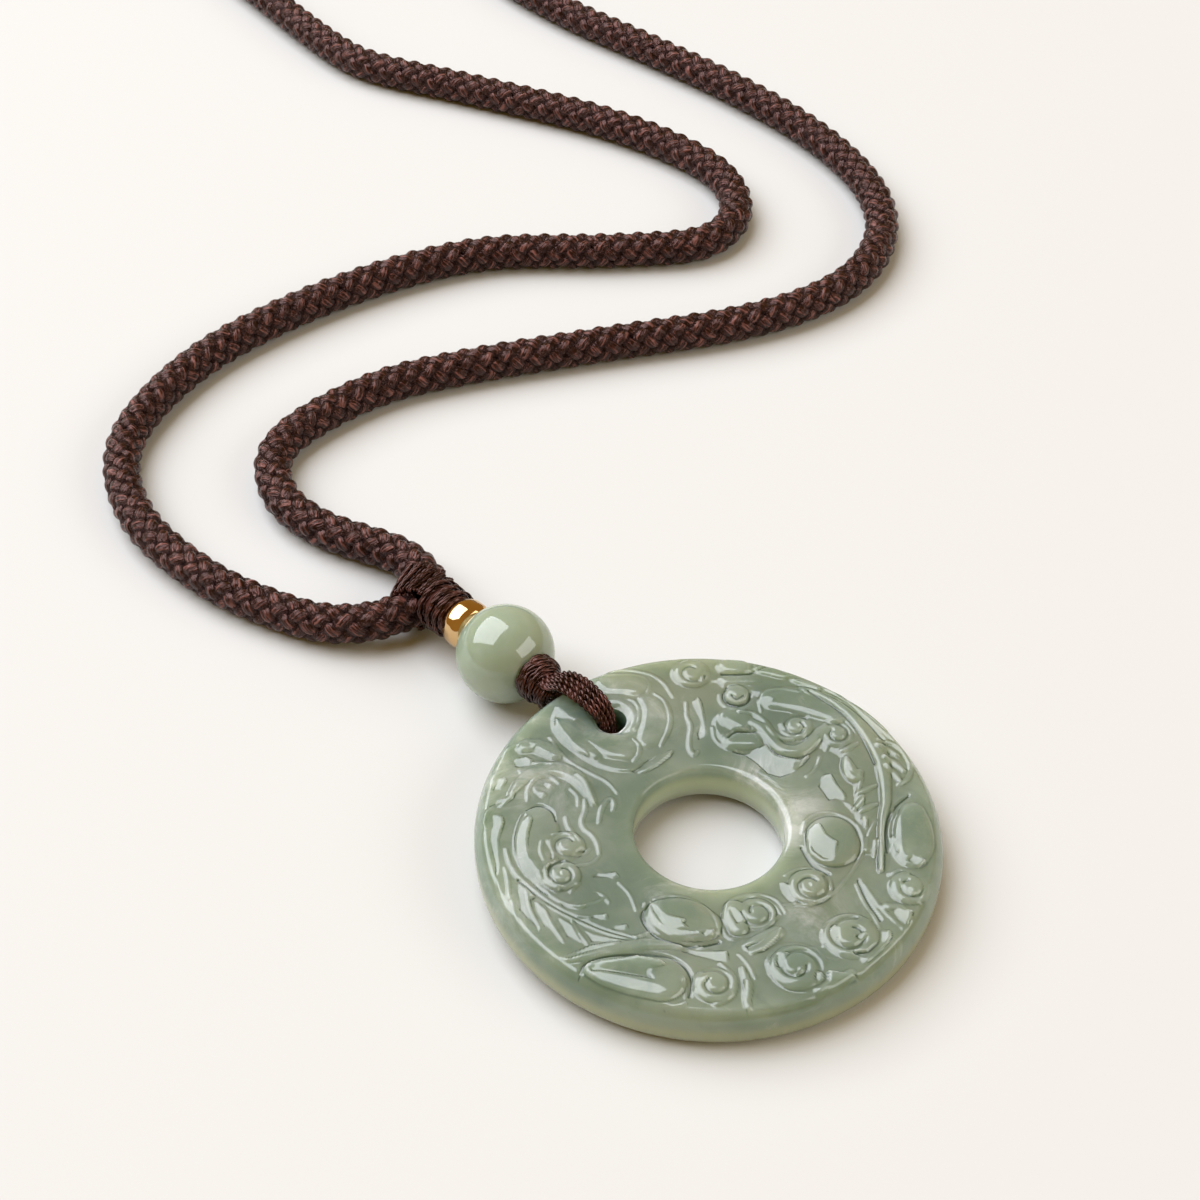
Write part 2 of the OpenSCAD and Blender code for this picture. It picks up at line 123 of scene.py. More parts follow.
def through(points, each=24):
    """A dense smooth curve through the points, bent as part.scad bends it."""
    p = np.array(points, float)
    q = np.vstack([2 * p[:1] - p[1:2], p, 2 * p[-1:] - p[-2:-1]])
    t = np.linspace(0, 1, each, endpoint=False)[:, None]
    spans = [0.5 * (2 * b + (c - a) * t + (2 * a - 5 * b + 4 * c - d) * t * t
                    + (3 * b - a - 3 * c + d) * t**3)
             for a, b, c, d in zip(q, q[1:], q[2:], q[3:])]
    return np.vstack(spans + [p[-1:]])


def run_of(line):
    """Distance along the line at each of its points."""
    return np.r_[0, np.cumsum(np.linalg.norm(np.diff(line, axis=0), axis=1))]


def evenly(line, count):
    """So many points at even distances along the line."""
    at = run_of(line)
    want = np.linspace(0, at[-1], count)
    return np.stack([np.interp(want, at, line[:, k]) for k in range(3)], 1)


def bell(width):
    """Weights of a smooth mean over so many neighbours to each side."""
    kernel = np.hanning(2 * width + 3)[1:-1]
    return kernel / kernel.sum()


def eased(line, width):
    """The line with its bends evened out over so many points to each side; its ends stay."""
    kernel = bell(width)
    padded = np.vstack([2 * line[0] - line[width:0:-1], line,
                        2 * line[-1] - line[-2:-width - 2:-1]])
    return np.stack([np.convolve(padded[:, k], kernel, "valid") for k in range(3)], 1)


def frames(line, ref):
    """Across and above a line at each point; across is the direction nearest to ref."""
    way = np.gradient(line, axis=0)
    if np.allclose(line[0], line[-1]):
        way[0] = way[-1] = line[1] - line[-2]
    way = unit(way)
    ref = np.broadcast_to(np.asarray(ref, float), line.shape)
    across = unit(ref - (ref * way).sum(-1, keepdims=True) * way)
    return across, np.cross(way, across)


PLY_OVER, PLY_IN = 1.1, 0.95


def twisted(line, ref, thread_d, lay, phase):
    """Two round plies twisted into one thread along the line, as tubes for tube_piece."""
    across, above = frames(line, ref)
    at = run_of(line)
    turns = max(1, round(at[-1] / lay))
    angle = phase + 2 * math.pi * turns * at / at[-1]
    # The plies press into each other, so each is a little thicker and nearer than a free one.
    ply_r = thread_d / 4
    tubes = []
    for half in (0, math.pi):
        c, s = np.cos(angle + half)[:, None], np.sin(angle + half)[:, None]
        ply = line + PLY_IN * ply_r * (c * across + s * above)
        wide, high = frames(ply, ref)
        tubes.append((ply, wide * ply_r * PLY_OVER, high * ply_r * PLY_OVER))
    return tubes


def grids(name, sizes):
    """A mesh of flat grids, each of so many points along by so many across.

    With its points, and for each grid their slice and their numbers along and across it.
    """
    bm = bmesh.new()
    bm.loops.layers.uv.new("UVMap")
    for along, across in sizes:
        bmesh.ops.create_grid(bm, x_segments=along - 1, y_segments=across - 1, size=1, calc_uvs=True)
    mesh = bpy.data.meshes.new(name)
    bm.to_mesh(mesh)
    bm.free()
    co = points_of(mesh)
    places, start = [], 0
    for counts in sizes:
        part = slice(start, start + counts[0] * counts[1])
        i, j = [np.rint((co[part, k] + 1) / 2 * (counts[k] - 1)).astype(int) for k in (0, 1)]
        places.append((part, i, j))
        start = part.stop
    return mesh, co, places


def points_of(mesh):
    co = np.empty(len(mesh.vertices) * 3)
    mesh.vertices.foreach_get("co", co)
    return co.reshape(-1, 3)


def corners_of(mesh):
    """The number of the point at each face's corner."""
    corner = np.empty(len(mesh.loops), dtype=int)
    mesh.loops.foreach_get("vertex_index", corner)
    return corner


def as_object(name, bm, mesh):
    """The bmesh as an object at the origin."""
    bm.to_mesh(mesh)
    bm.free()
    made = bpy.data.objects.new(name, mesh)
    bpy.context.scene.collection.objects.link(made)
    return made


def finished(name, mesh, co, place):
    """The mesh with its points moved, its seams joined and its open ends filled, as a piece.

    The piece is smooth and sits at the origin, with its place in its mesh.
    """
    mesh.vertices.foreach_set("co", co.ravel())
    bm = bmesh.new()
    bm.from_mesh(mesh)
    bmesh.ops.remove_doubles(bm, verts=bm.verts, dist=1e-7)
    open_edges = [e for e in bm.edges if e.is_boundary]
    if open_edges:
        bmesh.ops.edgeloop_fill(bm, edges=open_edges)
    bm.transform(place)
    bmesh.ops.recalc_face_normals(bm, faces=bm.faces)
    piece = as_object(name, bm, mesh)
    mesh.shade_smooth()
    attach(piece, "root")
    return piece


def tube_piece(name, tubes, sides, uv_length=1.0, swell=None):
    """One mesh of closed tubes: each its points, and half its width and half its height as vectors.

    swell gives, for each point's number along the line and its angle, its share of the radius
    and its own UV.
    """
    mesh, co, places = grids(name, [(len(line), sides + 1) for line, _, _ in tubes])
    uv = np.empty(len(mesh.loops) * 2)
    mesh.uv_layers[0].data.foreach_get("uv", uv)
    uv[0::2] *= uv_length
    for (line, wide, high), (part, i, j) in zip(tubes, places):
        turn = 2 * np.pi * (j % sides) / sides
        share = 1.0
        if swell:
            share, own_uv = swell(i, turn)
            share, uv = share[:, None], own_uv[corners_of(mesh)].ravel()
        co[part] = line[i] + share * (np.cos(turn)[:, None] * wide[i] + np.sin(turn)[:, None] * high[i])
    mesh.uv_layers[0].data.foreach_set("uv", uv)
    return finished(name, mesh, co, Matrix())


def spun(name, profile, steps, place):
    """A closed outline of [radius, z] points in mm, spun round z."""
    mesh, co, [(_, i, j)] = grids(name, [(steps + 1, len(profile) + 1)])
    turn = 2 * np.pi * (i % steps) / steps
    r, z = np.array(profile)[j % len(profile)].T * MM
    co[:] = np.stack([r * np.cos(turn), r * np.sin(turn), z], 1)
    return finished(name, mesh, co, place)


def arc(cx, cz, r, a, b, steps):
    """Points of an arc from a to b degrees, counted from the outward direction up."""
    return [(cx + r * math.cos(math.radians(a + (b - a) * k / steps)),
             cz + r * math.sin(math.radians(a + (b - a) * k / steps))) for k in range(steps + 1)]


# ---------------------------------------------------------------- neck cord
# The route of part.scad, from the disc's centre, in metres.
ROUTE = np.array([
    (-31, 38), (-33, 42.2), (-35.7, 45.2), (-40.2, 47.7), (-45.5, 50.5), (-50.5, 55.5), (-52.5, 63),
    (-49.5, 69.5), (-40, 77.5), (-28.5, 82), (-11.5, 86.5), (6.5, 91), (18, 96.5), (25, 104),
    (28, 114), (26, 125), (19, 137), (8, 149), (-4, 159.5), (-17, 170.5), (-28, 183), (-36, 200),
    (-42, 219), (-53, 230), (-68, 230), (-79, 219), (-80, 203), (-73.5, 188), (-63.5, 174),
    (-52, 159.5), (-45, 154), (-31.5, 148.5), (-12, 140), (0.5, 131.5), (6.5, 124), (7.5, 115.5),
    (2.5, 109.2), (-10, 107.5), (-28.5, 106.5), (-46, 98.5), (-61, 86.5), (-69, 74.5), (-71.5, 63.5),
    (-67.5, 51.5), (-58, 41.3), (-48, 35.3), (-42.5, 33.3), (-37.3, 33.5), (-33, 35.4)]) * MM


# Each end rises to the bail's middle, by so much of the way at each of its last points.
CORD_RISE = 0.3
CORD_STEPS, CORD_EASE = 2041, 12


def route_z(i):
    from_end = min(i, len(ROUTE) - 1 - i)
    return (CORD_LIE + (BAIL_D / 2 - CORD_LIE) * max(0, 1 - from_end * CORD_RISE)) * MM


route = [(x + line_foot.x, y + line_foot.y, route_z(i)) for i, (x, y) in enumerate(ROUTE)]
cord_line = eased(evenly(through(route), CORD_STEPS), CORD_EASE)
cord_run = run_of(cord_line)

BRAID_LAY = 13.0      # mm of cord in which a strand goes once round it
BRAID_R = 1.8         # mm from the cord's axis to the middle of its strands
BRAID_WAYS = 5        # strands that go round each way
BRAID_FILL = 0.94     # share of its lane that a strand covers
BRAID_WAVE = 0.3      # mm that a strand rises where it goes over, and sinks where it goes under
BRAID_BULGE = 0.7     # mm that its middle stands over its edges
BRAID_GAP = 0.9       # mm from the middle of the strands down to the gaps
BRAID_HALF_UV = 0.48  # half a strand's width in the UV, where lanes are 1 wide
# Under this level a place starts to count as an edge and to take painted shade, and so much lower it
# wholly does.
BRAID_DARK, BRAID_DARK_OVER = 0.62, 0.3
BRAID_SIDES = 48


def braid(i, turn):
    """Strands both ways round, over and under each other: share of the radius, and UV."""
    along = cord_run[i] / MM
    round_it = 2 * math.pi * along / BRAID_LAY
    lean = math.atan2(2 * math.pi * BRAID_R, BRAID_LAY)
    spacing = 2 * math.pi / BRAID_WAYS
    half_w = 0.5 * spacing * BRAID_R * math.cos(lean) * BRAID_FILL
    best = np.full(i.shape, BRAID_R - BRAID_GAP)
    lane, across = np.zeros(i.shape), np.ones(i.shape)
    for way in (1, -1):
        number = np.rint((turn - way * round_it) / spacing)
        beside = turn - way * round_it - number * spacing
        off = beside * BRAID_R * math.cos(lean)
        over = way * np.cos(BRAID_WAYS * (round_it + 0.5 * way * beside))
        bulge = np.clip(1 - (off / half_w) ** 2, 0, 1) ** 0.5 - 0.5
        top = BRAID_R + BRAID_WAVE * over + BRAID_BULGE * bulge
        nearer = (top > best) & (np.abs(off) < half_w)
        best = np.where(nearer, top, best)
        lane = np.where(nearer, number % BRAID_WAYS + (BRAID_WAYS if way < 0 else 0), lane)
        across = np.where(nearer, off / half_w, across)
    # Low places count as edges, so that they take the painted shade of the gaps.
    level = (best - BRAID_R + BRAID_GAP) / (BRAID_GAP + BRAID_WAVE + BRAID_BULGE / 2)
    sunk = np.clip(1 - (level - BRAID_DARK) / BRAID_DARK_OVER, 0, 1)
    across = np.where(across < 0, -1, 1) * np.maximum(np.abs(across), sunk)
    uv = np.stack([along / math.cos(lean), lane + 0.5 + BRAID_HALF_UV * across], 1)
    return best / (CORD_D / 2), uv


across, above = frames(cord_line, (0, 0, 1))
cord_tube = (cord_line, across * CORD_D / 2 * MM, above * CORD_D / 2 * MM)
neck_braid = tube_piece("neck_cord_braid", [cord_tube], BRAID_SIDES, swell=braid)
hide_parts("neck_cord")


# ---------------------------------------------------------------- disc
# Forms of the carving: height in hundredths of a millimetre, then a chain of (x, y, half width)
# in hundredths of the disc's radius, seen from above. Each form keeps what already stands higher.
GROUNDS = [
    (17, (16, 86, 9), (30, 84, 9), (44, 78, 8), (58, 68, 10), (70, 54, 12), (77, 36, 10), (76, 20, 6)),
    (18, (16, 58, 13), (30, 60, 15), (44, 60, 14), (56, 56, 11), (66, 46, 9), (70, 30, 7), (69, 10, 6),
     (67, -8, 5)),
    (15, (-8, 88, 7), (4, 90, 7), (16, 90, 7), (30, 88, 5)),
    (17, (-52, 78, 6), (-36, 78, 12), (-24, 72, 12), (-22, 58, 12), (-28, 44, 11), (-42, 44, 12),
     (-56, 56, 11), (-58, 66, 8)),
    (6, (-76, 30, 6), (-66, 22, 12), (-58, 14, 12), (-54, 2, 10), (-56, -12, 10), (-60, -26, 10)),
    (12, (84, 16, 7), (86, 0, 9), (85, -16, 9), (82, -30, 9)),
    (12, (70, -48, 6), (62, -58, 12), (50, -66, 8), (36, -74, 11)),
]
FORMS = [
    # bosses and the long drop
    (104, (-20.5, -45.4, 7), (-13, -48.4, 11), (-5, -51.2, 8.4)),
    (100, (-49, -75.5, 4), (-42, -76.5, 7), (-32, -78, 9.5), (-22, -79.5, 10.5)),
    (112, (51.5, -3.5, 10.6), (52, -8.5, 11.2)),
    (92, (87, 9, 5.5), (86.5, 1, 8), (86, -8, 8.5), (85, -14, 7)),
    # curls on the far edge
    (82, (-5.5, 88, 8.2)),
    (84, (10.5, 92, 4.6), (16.5, 91.5, 4.8)),
    (60, (25, 90.5, 2.6), (31, 89, 3), (36, 87, 2.4)),
    (48, (40, 84.5, 1.6), (46, 82, 2), (51, 79.5, 1.4)),
    # eye, brow, nose, jaw
    (104, (14.3, 75.3, 5.6)),
    (66, (15, 65.3, 1.2), (21, 64.6, 1.7), (26, 60, 1.9), (29.3, 54, 1.9), (33.3, 50.7, 1.7),
     (38, 49.8, 1)),
    (86, (20.5, 59, 2.2), (24.5, 56, 2.8), (28, 50.5, 3), (32, 45.2, 3.1), (37.5, 43.4, 3.1),
     (43, 45.2, 3), (47.5, 50.2, 2.8), (51.5, 55.2, 2.6), (57, 59.6, 2.2)),
    # curled locks
    (88, (39.8, 57, 7.4)),
    (88, (57.2, 52.8, 7.2)),
    # the dragon's back, its mane and its belly
    (88, (44, 78.2, 2.2), (55, 73, 3.2), (62.5, 66, 3.8), (68.5, 57, 4), (73.3, 47, 4), (75.8, 38, 3.6),
     (76.3, 28, 2.9), (75.8, 15, 2.2), (73.4, 4, 1.6), (72, -10, 1.2), (71, -22, 0.9)),
    (58, (58, 76.5, 0.9), (67, 68.5, 1.3), (75, 59, 1.4), (82.5, 49.5, 0.9)),
    (58, (54, 79.5, 0.8), (65, 73, 1.1), (74.5, 64, 1.1), (80, 56.5, 0.8)),
    (62, (74.5, 46, 1.2), (79, 44.2, 2.1), (83.5, 40.6, 0.9)),
    (62, (77, 39.5, 1.2), (81.5, 36.6, 2.1), (85.6, 32, 0.9)),
    (62, (77.5, 34.5, 1.2), (80.6, 30.8, 2), (83.6, 25.6, 0.9)),
    (66, (75, 49, 0.9), (81, 48, 1.4), (86, 43.8, 1.7), (88.3, 36, 1.7), (86.6, 28.5, 1.5),
     (82, 24.5, 1)),
    (80, (60.5, 39, 1.4), (61.3, 34, 3), (63.6, 29, 3.2), (66, 31.5, 1.6)),
    (56, (58.5, 43.5, 1), (62, 44.8, 1.7), (66, 47.8, 1)),
    (62, (62, 11, 1.1), (64.5, 14, 1.8), (66.4, 18, 1)),
    (62, (64, 19.5, 1), (68, 21.6, 1.9), (72.5, 24, 0.9)),
    (62, (64.3, 9.4, 1), (68, 11.8, 2), (72, 13.6, 0.9)),
    (64, (66.3, 6, 1.9), (66.3, 1.5, 0.9)),
    (52, (67, -3.5, 0.8), (70.5, 3.8, 1.1)),
    (52, (66.3, -5, 0.9), (65.6, -12, 0.9)),
    (52, (70.2, -6.3, 1.3), (69, -14, 1)),
    (60, (66.7, 28, 1), (64.3, 20.5, 1)),
    # thin lines round the bosses and scrolls
    (36, (39.4, -1, 0.8), (41.4, 5.4, 1), (47, 9.4, 1), (55, 9, 1), (61.6, 4, 1), (64.6, -4, 1),
     (64, -12, 1), (60.6, -19.6, 1), (55, -28, 1), (49, -35.6, 0.8)),
    (34, (-28, -40, 0.8), (-27.6, -47, 1), (-22.6, -54.6, 1), (-14, -60.4, 1), (-5, -61.8, 0.8)),
    (34, (-24, -37.8, 0.8), (-17, -35.8, 0.9), (-9, -37.4, 0.9), (-3, -42, 0.9), (1, -49, 0.9),
     (2.4, -56, 0.8)),
    (34, (-54.4, -81, 0.8), (-53, -75, 0.9), (-47, -71, 0.9), (-38, -69.4, 0.8)),
    (34, (-29, -68.4, 0.8), (-20, -69.6, 0.9), (-13.6, -74, 0.9), (-10.6, -80.6, 0.9), (-12, -88, 0.8)),
    (48, (2, -70.8, 0.9), (5.6, -75, 1.3), (7.8, -80.4, 1.4), (6.8, -86, 1.3), (3, -90, 1.1),
     (-1, -91.4, 0.8)),
    (36, (10, -66, 0.8), (13.6, -71.4, 0.9), (16, -78, 0.8)),
    (36, (5.4, -42, 0.8), (4, -49, 0.9), (6, -57.6, 0.9), (14, -56.4, 0.9), (22, -52, 0.9),
     (27, -46, 0.8)),
    (36, (7, -38.6, 0.8), (13, -35.6, 0.9), (21, -36.4, 0.9), (26, -40.4, 0.9), (28, -45, 0.8)),
    (40, (16, -41.2, 0.8), (21, -40.8, 1.2), (24.4, -44, 1.2), (24.2, -48.6, 0.8)),
    (34, (31, -24, 0.8), (37, -20.6, 0.9), (44, -21, 0.9), (49, -25.6, 0.9), (49.6, -32, 0.8)),
    (34, (29, -40, 0.8), (34, -39.4, 0.9), (41, -40, 0.9), (48, -36, 0.8)),
    (40, (60.4, -29, 0.8), (62.6, -37, 1), (66.4, -46, 0.9), (68, -53, 0.8)),
    (40, (63.6, -29.4, 0.8), (66, -35, 1.1), (71, -44, 0.8), (78, -52.4, 0.8)),
    (34, (44.6, -62, 0.8), (44.4, -54, 0.9), (49, -47.6, 0.9), (57, -45.4, 0.9), (64, -49, 0.9)),
    (34, (22, -76, 0.8), (21.4, -69, 0.9), (26, -62.6, 0.9), (34, -60.6, 0.9), (41.6, -64, 0.9),
     (45, -70, 0.8)),
    (34, (74, -24, 0.8), (80, -22, 0.9), (86, -25, 0.9), (88.6, -31, 0.9), (86.6, -37, 0.8)),
    (36, (79, 12, 0.8), (76.6, 4, 0.9), (76, -6, 0.9), (78.6, -15, 0.8)),
    # the eye's ring, the snout and the locks
    (36, (6.8, 76, 0.8), (7.2, 71.6, 0.9), (10.6, 67.6, 0.9), (15.6, 66.8, 0.9), (20, 69, 0.8)),
    (36, (24.8, 66, 0.8), (24.4, 72, 0.9), (27, 76.6, 0.9), (34, 78.4, 0.9), (43, 76.6, 0.8)),
    (40, (41, 57.6, 0.8), (43.4, 55, 1.1), (42.6, 51.6, 1), (40, 51.6, 0.8)),
    (36, (43, 30, 0.8), (47.4, 34.6, 0.9), (49.6, 41, 0.9)),
    (36, (3, 57, 0.8), (4, 50.6, 0.9), (8, 46, 0.9), (13, 44.2, 0.8)),
    # scrolls lower right
    (94, (41, -30.5, 9.2)),
    (84, (9, -42.5, 4.4), (9.3, -47.5, 5.2), (10, -52.5, 4.2)),
    (90, (18, -44.8, 8)),
    (46, (4.2, -45, 0.9), (7.5, -38.2, 1.1), (13, -35.2, 1.1), (20, -34.6, 1.1), (26.6, -37.6, 1.1),
     (30, -44, 1)),
    (96, (33, -72.6, 11.2)),
    (98, (56, -56.8, 11.4)),
    (88, (82.3, -31.3, 8.4)),
    # bottom
    (88, (-0.8, -81.8, 8.6)),
    (64, (10.8, -73, 1), (12.8, -82, 2.3), (12.2, -89, 1.9), (13.3, -94.5, 0.8)),
    # drop leaf left of the snout
    (52, (-8.3, 71, 0.8), (-8.2, 63, 1.2), (-6.6, 58, 1.2), (-7.4, 50, 1.2), (-7.2, 44.5, 1.5),
     (-5.4, 41.8, 1.5), (-3.8, 43.6, 0.9)),
    # cloud round the small hole
    (40, (-44, 88, 0.7), (-34, 89.2, 1.1), (-24, 87, 1.1), (-18, 81.6, 1.1), (-14, 73.4, 0.8)),
    (40, (-22.4, 75, 0.7), (-18, 71, 1.2), (-15.6, 63, 1.3), (-16.4, 54.6, 1.3), (-20, 45.6, 0.8)),
    (36, (-34, 71.6, 0.7), (-31, 69.8, 1), (-29.4, 65, 1.1), (-29.6, 59, 0.9), (-31.4, 54.4, 0.7)),
    (40, (-32, 49, 0.7), (-29.6, 45, 1.2), (-29.8, 40, 1.2), (-31.8, 36.6, 0.8)),
    (36, (-46, 85.4, 0.7), (-38, 86.2, 0.9), (-30, 86, 0.9), (-26, 83.4, 1), (-24.6, 79.6, 1),
     (-25.6, 75, 0.7)),
    (36, (-50, 59, 0.7), (-48, 54, 0.9), (-43, 50.6, 0.9), (-36, 50.6, 0.7)),
    (40, (-68.4, 49, 0.7), (-65, 42, 1), (-59, 35, 1.1), (-51, 29.8, 1), (-43.4, 25, 0.9),
     (-39, 19, 0.7)),
    # leaves at the left edge
    (40, (-91.6, 34, 0.8), (-90, 38, 1.2), (-85.6, 42.4, 1.2), (-78, 47, 0.8)),
    (40, (-76.4, 33.6, 1), (-67.2, 33.4, 1.1)),
    (36, (-96.6, 12, 0.7), (-95.6, 20, 0.9), (-92, 26.4, 0.9), (-87.6, 29.4, 0.7)),
    (48, (-94.8, -3.4, 1), (-96.2, 0.4, 1.1), (-94.8, 5.4, 1.2), (-92, 9, 1)),
    # head, crest and neck
    (46, (-77.4, 13, 0.9), (-77.2, 19.4, 1.1), (-74, 24.8, 1.1), (-68.6, 26.4, 1), (-64, 23, 0.9)),
    (46, (-56.4, 27.4, 0.9), (-53.4, 24.6, 1.3), (-51.4, 19.6, 1.3), (-49.2, 12, 0.8)),
    (46, (-53, 14.6, 0.8), (-52.8, 8.6, 1.2), (-54.2, 3, 1.3), (-53.2, -1.4, 1.3), (-50, -4.6, 1.4),
     (-47.6, -9, 1.3), (-46.8, -15, 0.8)),
    (46, (-61, 4.4, 0.8), (-60, -0.4, 1.2), (-57.6, -4.6, 1.3), (-54.8, -9.4, 0.9)),
    (46, (-47, 2, 0.8), (-46, 9, 1.3), (-43.6, 14.6, 1.4), (-41.4, 15.6, 1.4), (-40.4, 12.6, 1.2),
     (-41, 9.4, 0.8)),
    (40, (-59, 20, 0.8), (-56, 16, 1), (-55.8, 11, 0.8)),
    (40, (-71, -10.4, 0.8), (-71.4, -15.6, 0.9), (-70, -20.4, 0.8)),
    (40, (-66.6, -6.4, 0.8), (-62, -5, 1), (-58.6, -6.6, 0.8)),
    (36, (-58, -16.4, 0.8), (-53, -15, 1), (-50.6, -12, 0.8)),
    (36, (-62.4, -22.6, 0.8), (-56.4, -21.6, 1), (-50, -19.6, 0.9), (-46.6, -15.4, 0.7)),
    # spiral domes on the flank
    (98, (-60.4, -11.4, 7.6)),
    (100, (-62.2, -27.4, 7.6)),
    # the tail's stems
    (56, (-86, -14, 0.8), (-84, -22, 1.1), (-79.6, -29.6, 1.4), (-73.4, -36.6, 1.5), (-66.4, -43, 1.5),
     (-58.4, -48.4, 1.5), (-50, -53, 1.4), (-42, -56.6, 1.3), (-34.4, -58.4, 1.2), (-29.6, -57.4, 1.1),
     (-26.2, -55, 0.8)),
    (36, (-72.4, -32.4, 0.8), (-66, -38.4, 1), (-58, -42.6, 0.9), (-50, -41, 0.8), (-45, -38.4, 0.7)),
    (36, (-77, -37, 0.8), (-75.4, -45, 1.2), (-71, -55, 0.8)),
    (36, (-69.8, -44, 0.8), (-66.2, -52.6, 1.2), (-61.6, -61, 0.7)),
    (36, (-58, -51, 0.8), (-55, -57, 1.1), (-51.6, -62.4, 0.7)),
    (34, (-56.4, -48, 0.8), (-50.6, -48.4, 0.9)),
    (34, (-58.6, -35.6, 0.8), (-55, -31, 0.8)),
    (34, (-38.6, -29.6, 0.8), (-34, -36, 0.9), (-31.6, -44, 0.8)),
    (36, (-86, -24, 0.8), (-84.6, -31, 1), (-84, -38.6, 0.8)),
    (36, (-89.4, -30, 0.8), (-87.4, -37, 0.8)),
    (32, (-86, -42, 0.8), (-84.4, -49, 0.8)),
    (32, (-82.6, -41, 0.8), (-81, -51, 0.8)),
]
# Forms with a flatter top and steeper sides.
PADS = [
    (60, (-43, 80.4, 5.4), (-36, 80.6, 6), (-31, 79.8, 6)),
    (62, (-26, 71, 4), (-22, 64, 6.8), (-22.4, 55, 6.8), (-26.5, 47.5, 4)),
    (58, (-38, 68.2, 4), (-35, 63, 5.4), (-35.4, 57.5, 4.4)),
    (64, (-49.5, 48.2, 5.5), (-42.5, 45, 7), (-36, 43.2, 6.4)),
    (58, (-58.2, 64.2, 7.4), (-58, 66, 7.2)),
    (60, (-62.2, 54.6, 4.6), (-58, 48.6, 4.8), (-53, 43, 3.6), (-48, 38.6, 1.8)),
    (82, (-72.6, 2, 7.4), (-72.8, -6, 9.2), (-73, -14, 9), (-71.6, -21, 7.4), (-68, -28, 4.4),
     (-64.5, -34, 1.6)),
    (80, (30, 73.3, 6), (36, 73.3, 7.2), (43, 71.5, 7.2), (51, 67.5, 6), (58, 62.5, 3.6)),
    (74, (11.5, 62.5, 5.6), (15.5, 60, 5.6)),
    (68, (11, 49.6, 4.4), (20, 49.8, 4.8)),
    (54, (-84.6, 16, 1), (-80.4, 23, 2.2), (-74, 28.8, 3.1), (-66.5, 30.8, 3.6), (-59, 28.4, 3.7),
     (-53.6, 22.4, 2.8), (-50.2, 15.5, 1.7), (-49, 12.2, 0.8)),
    (54, (71.5, -41, 1.6), (77, -43, 2.8), (80.5, -46.5, 1.6)),
    (58, (42, -84, 1.8), (49, -79.5, 2.8), (55, -75, 1.8)),
    (56, (14, -62, 2), (20, -59, 3.8), (26, -54.5, 3)),
    (58, (-60, -70, 1.4), (-50, -67.5, 2.4), (-38, -63.6, 2.6), (-26, -61.6, 2.4), (-14, -62.8, 1.2)),
    (62, (10, 83.8, 3), (16, 84.5, 3.4), (23, 84, 2.6)),
    (56, (-80, 42.2, 2.4), (-75.5, 43.8, 3.4), (-70.5, 42, 3.8), (-66, 38.6, 2.8)),
]
# Creases cut after the forms: depth in hundredths of a millimetre, then a chain as above.
CREASES = [
    (26, (8, 87.4, 0.7), (15, 87.2, 1), (22, 89, 1), (28, 92.6, 0.7)),
    (30, (10, 79.4, 0.7), (8.4, 75, 1), (10.6, 70.8, 1), (15, 69.6, 1), (19, 72, 0.9),
     (20.4, 76.4, 0.7)),
    (26, (12, 74, 0.7), (14, 72.2, 0.9), (17, 74, 0.8)),
    (34, (9.8, 51, 0.8), (11.6, 53.4, 1.1), (14.4, 54.5, 1.2), (21.5, 54, 0.8)),
    (26, (46, 77.6, 0.7), (55, 70.2, 0.9), (61, 64, 0.9), (66, 56, 0.9), (70, 46, 0.9),
     (72.8, 36, 0.8)),
    (24, (52, 77, 0.6), (62, 70, 0.8), (70.5, 60.5, 0.8), (78, 49.5, 0.7)),
    (22, (62, 76, 0.6), (71, 66, 0.8), (79, 55.6, 0.7)),
    (26, (38.4, -9, 0.8), (42.6, -18.6, 1), (49, -23.8, 0.9)),
    (26, (61, -27, 0.7), (64, -38, 0.9), (68.6, -48.6, 0.7)),
    (30, (-26, -40.4, 0.7), (-29.4, -47, 1), (-25.6, -55.4, 1), (-17.5, -60.4, 1), (-7, -62, 0.9),
     (2, -60, 0.8)),
    (26, (-55, -79, 0.8), (-52.6, -73, 1), (-45, -69, 1), (-32, -66.8, 1), (-20, -67.8, 1),
     (-12.4, -72.6, 1), (-9.8, -80, 0.9), (-11, -88, 0.7)),
    (24, (74.5, -12, 0.8), (74.8, 0, 1), (79, 11, 1), (86, 18.6, 0.8)),
    (26, (-77.8, 7, 0.7), (-73, 9.8, 1), (-67.6, 7.4, 1), (-65.4, 1.6, 0.7)),
    (28, (-80.6, -30.2, 0.7), (-72, -38.4, 0.9), (-63.4, -45, 0.9), (-54, -50.4, 0.9),
     (-44, -55.4, 0.8), (-33, -58.8, 0.6)),
]
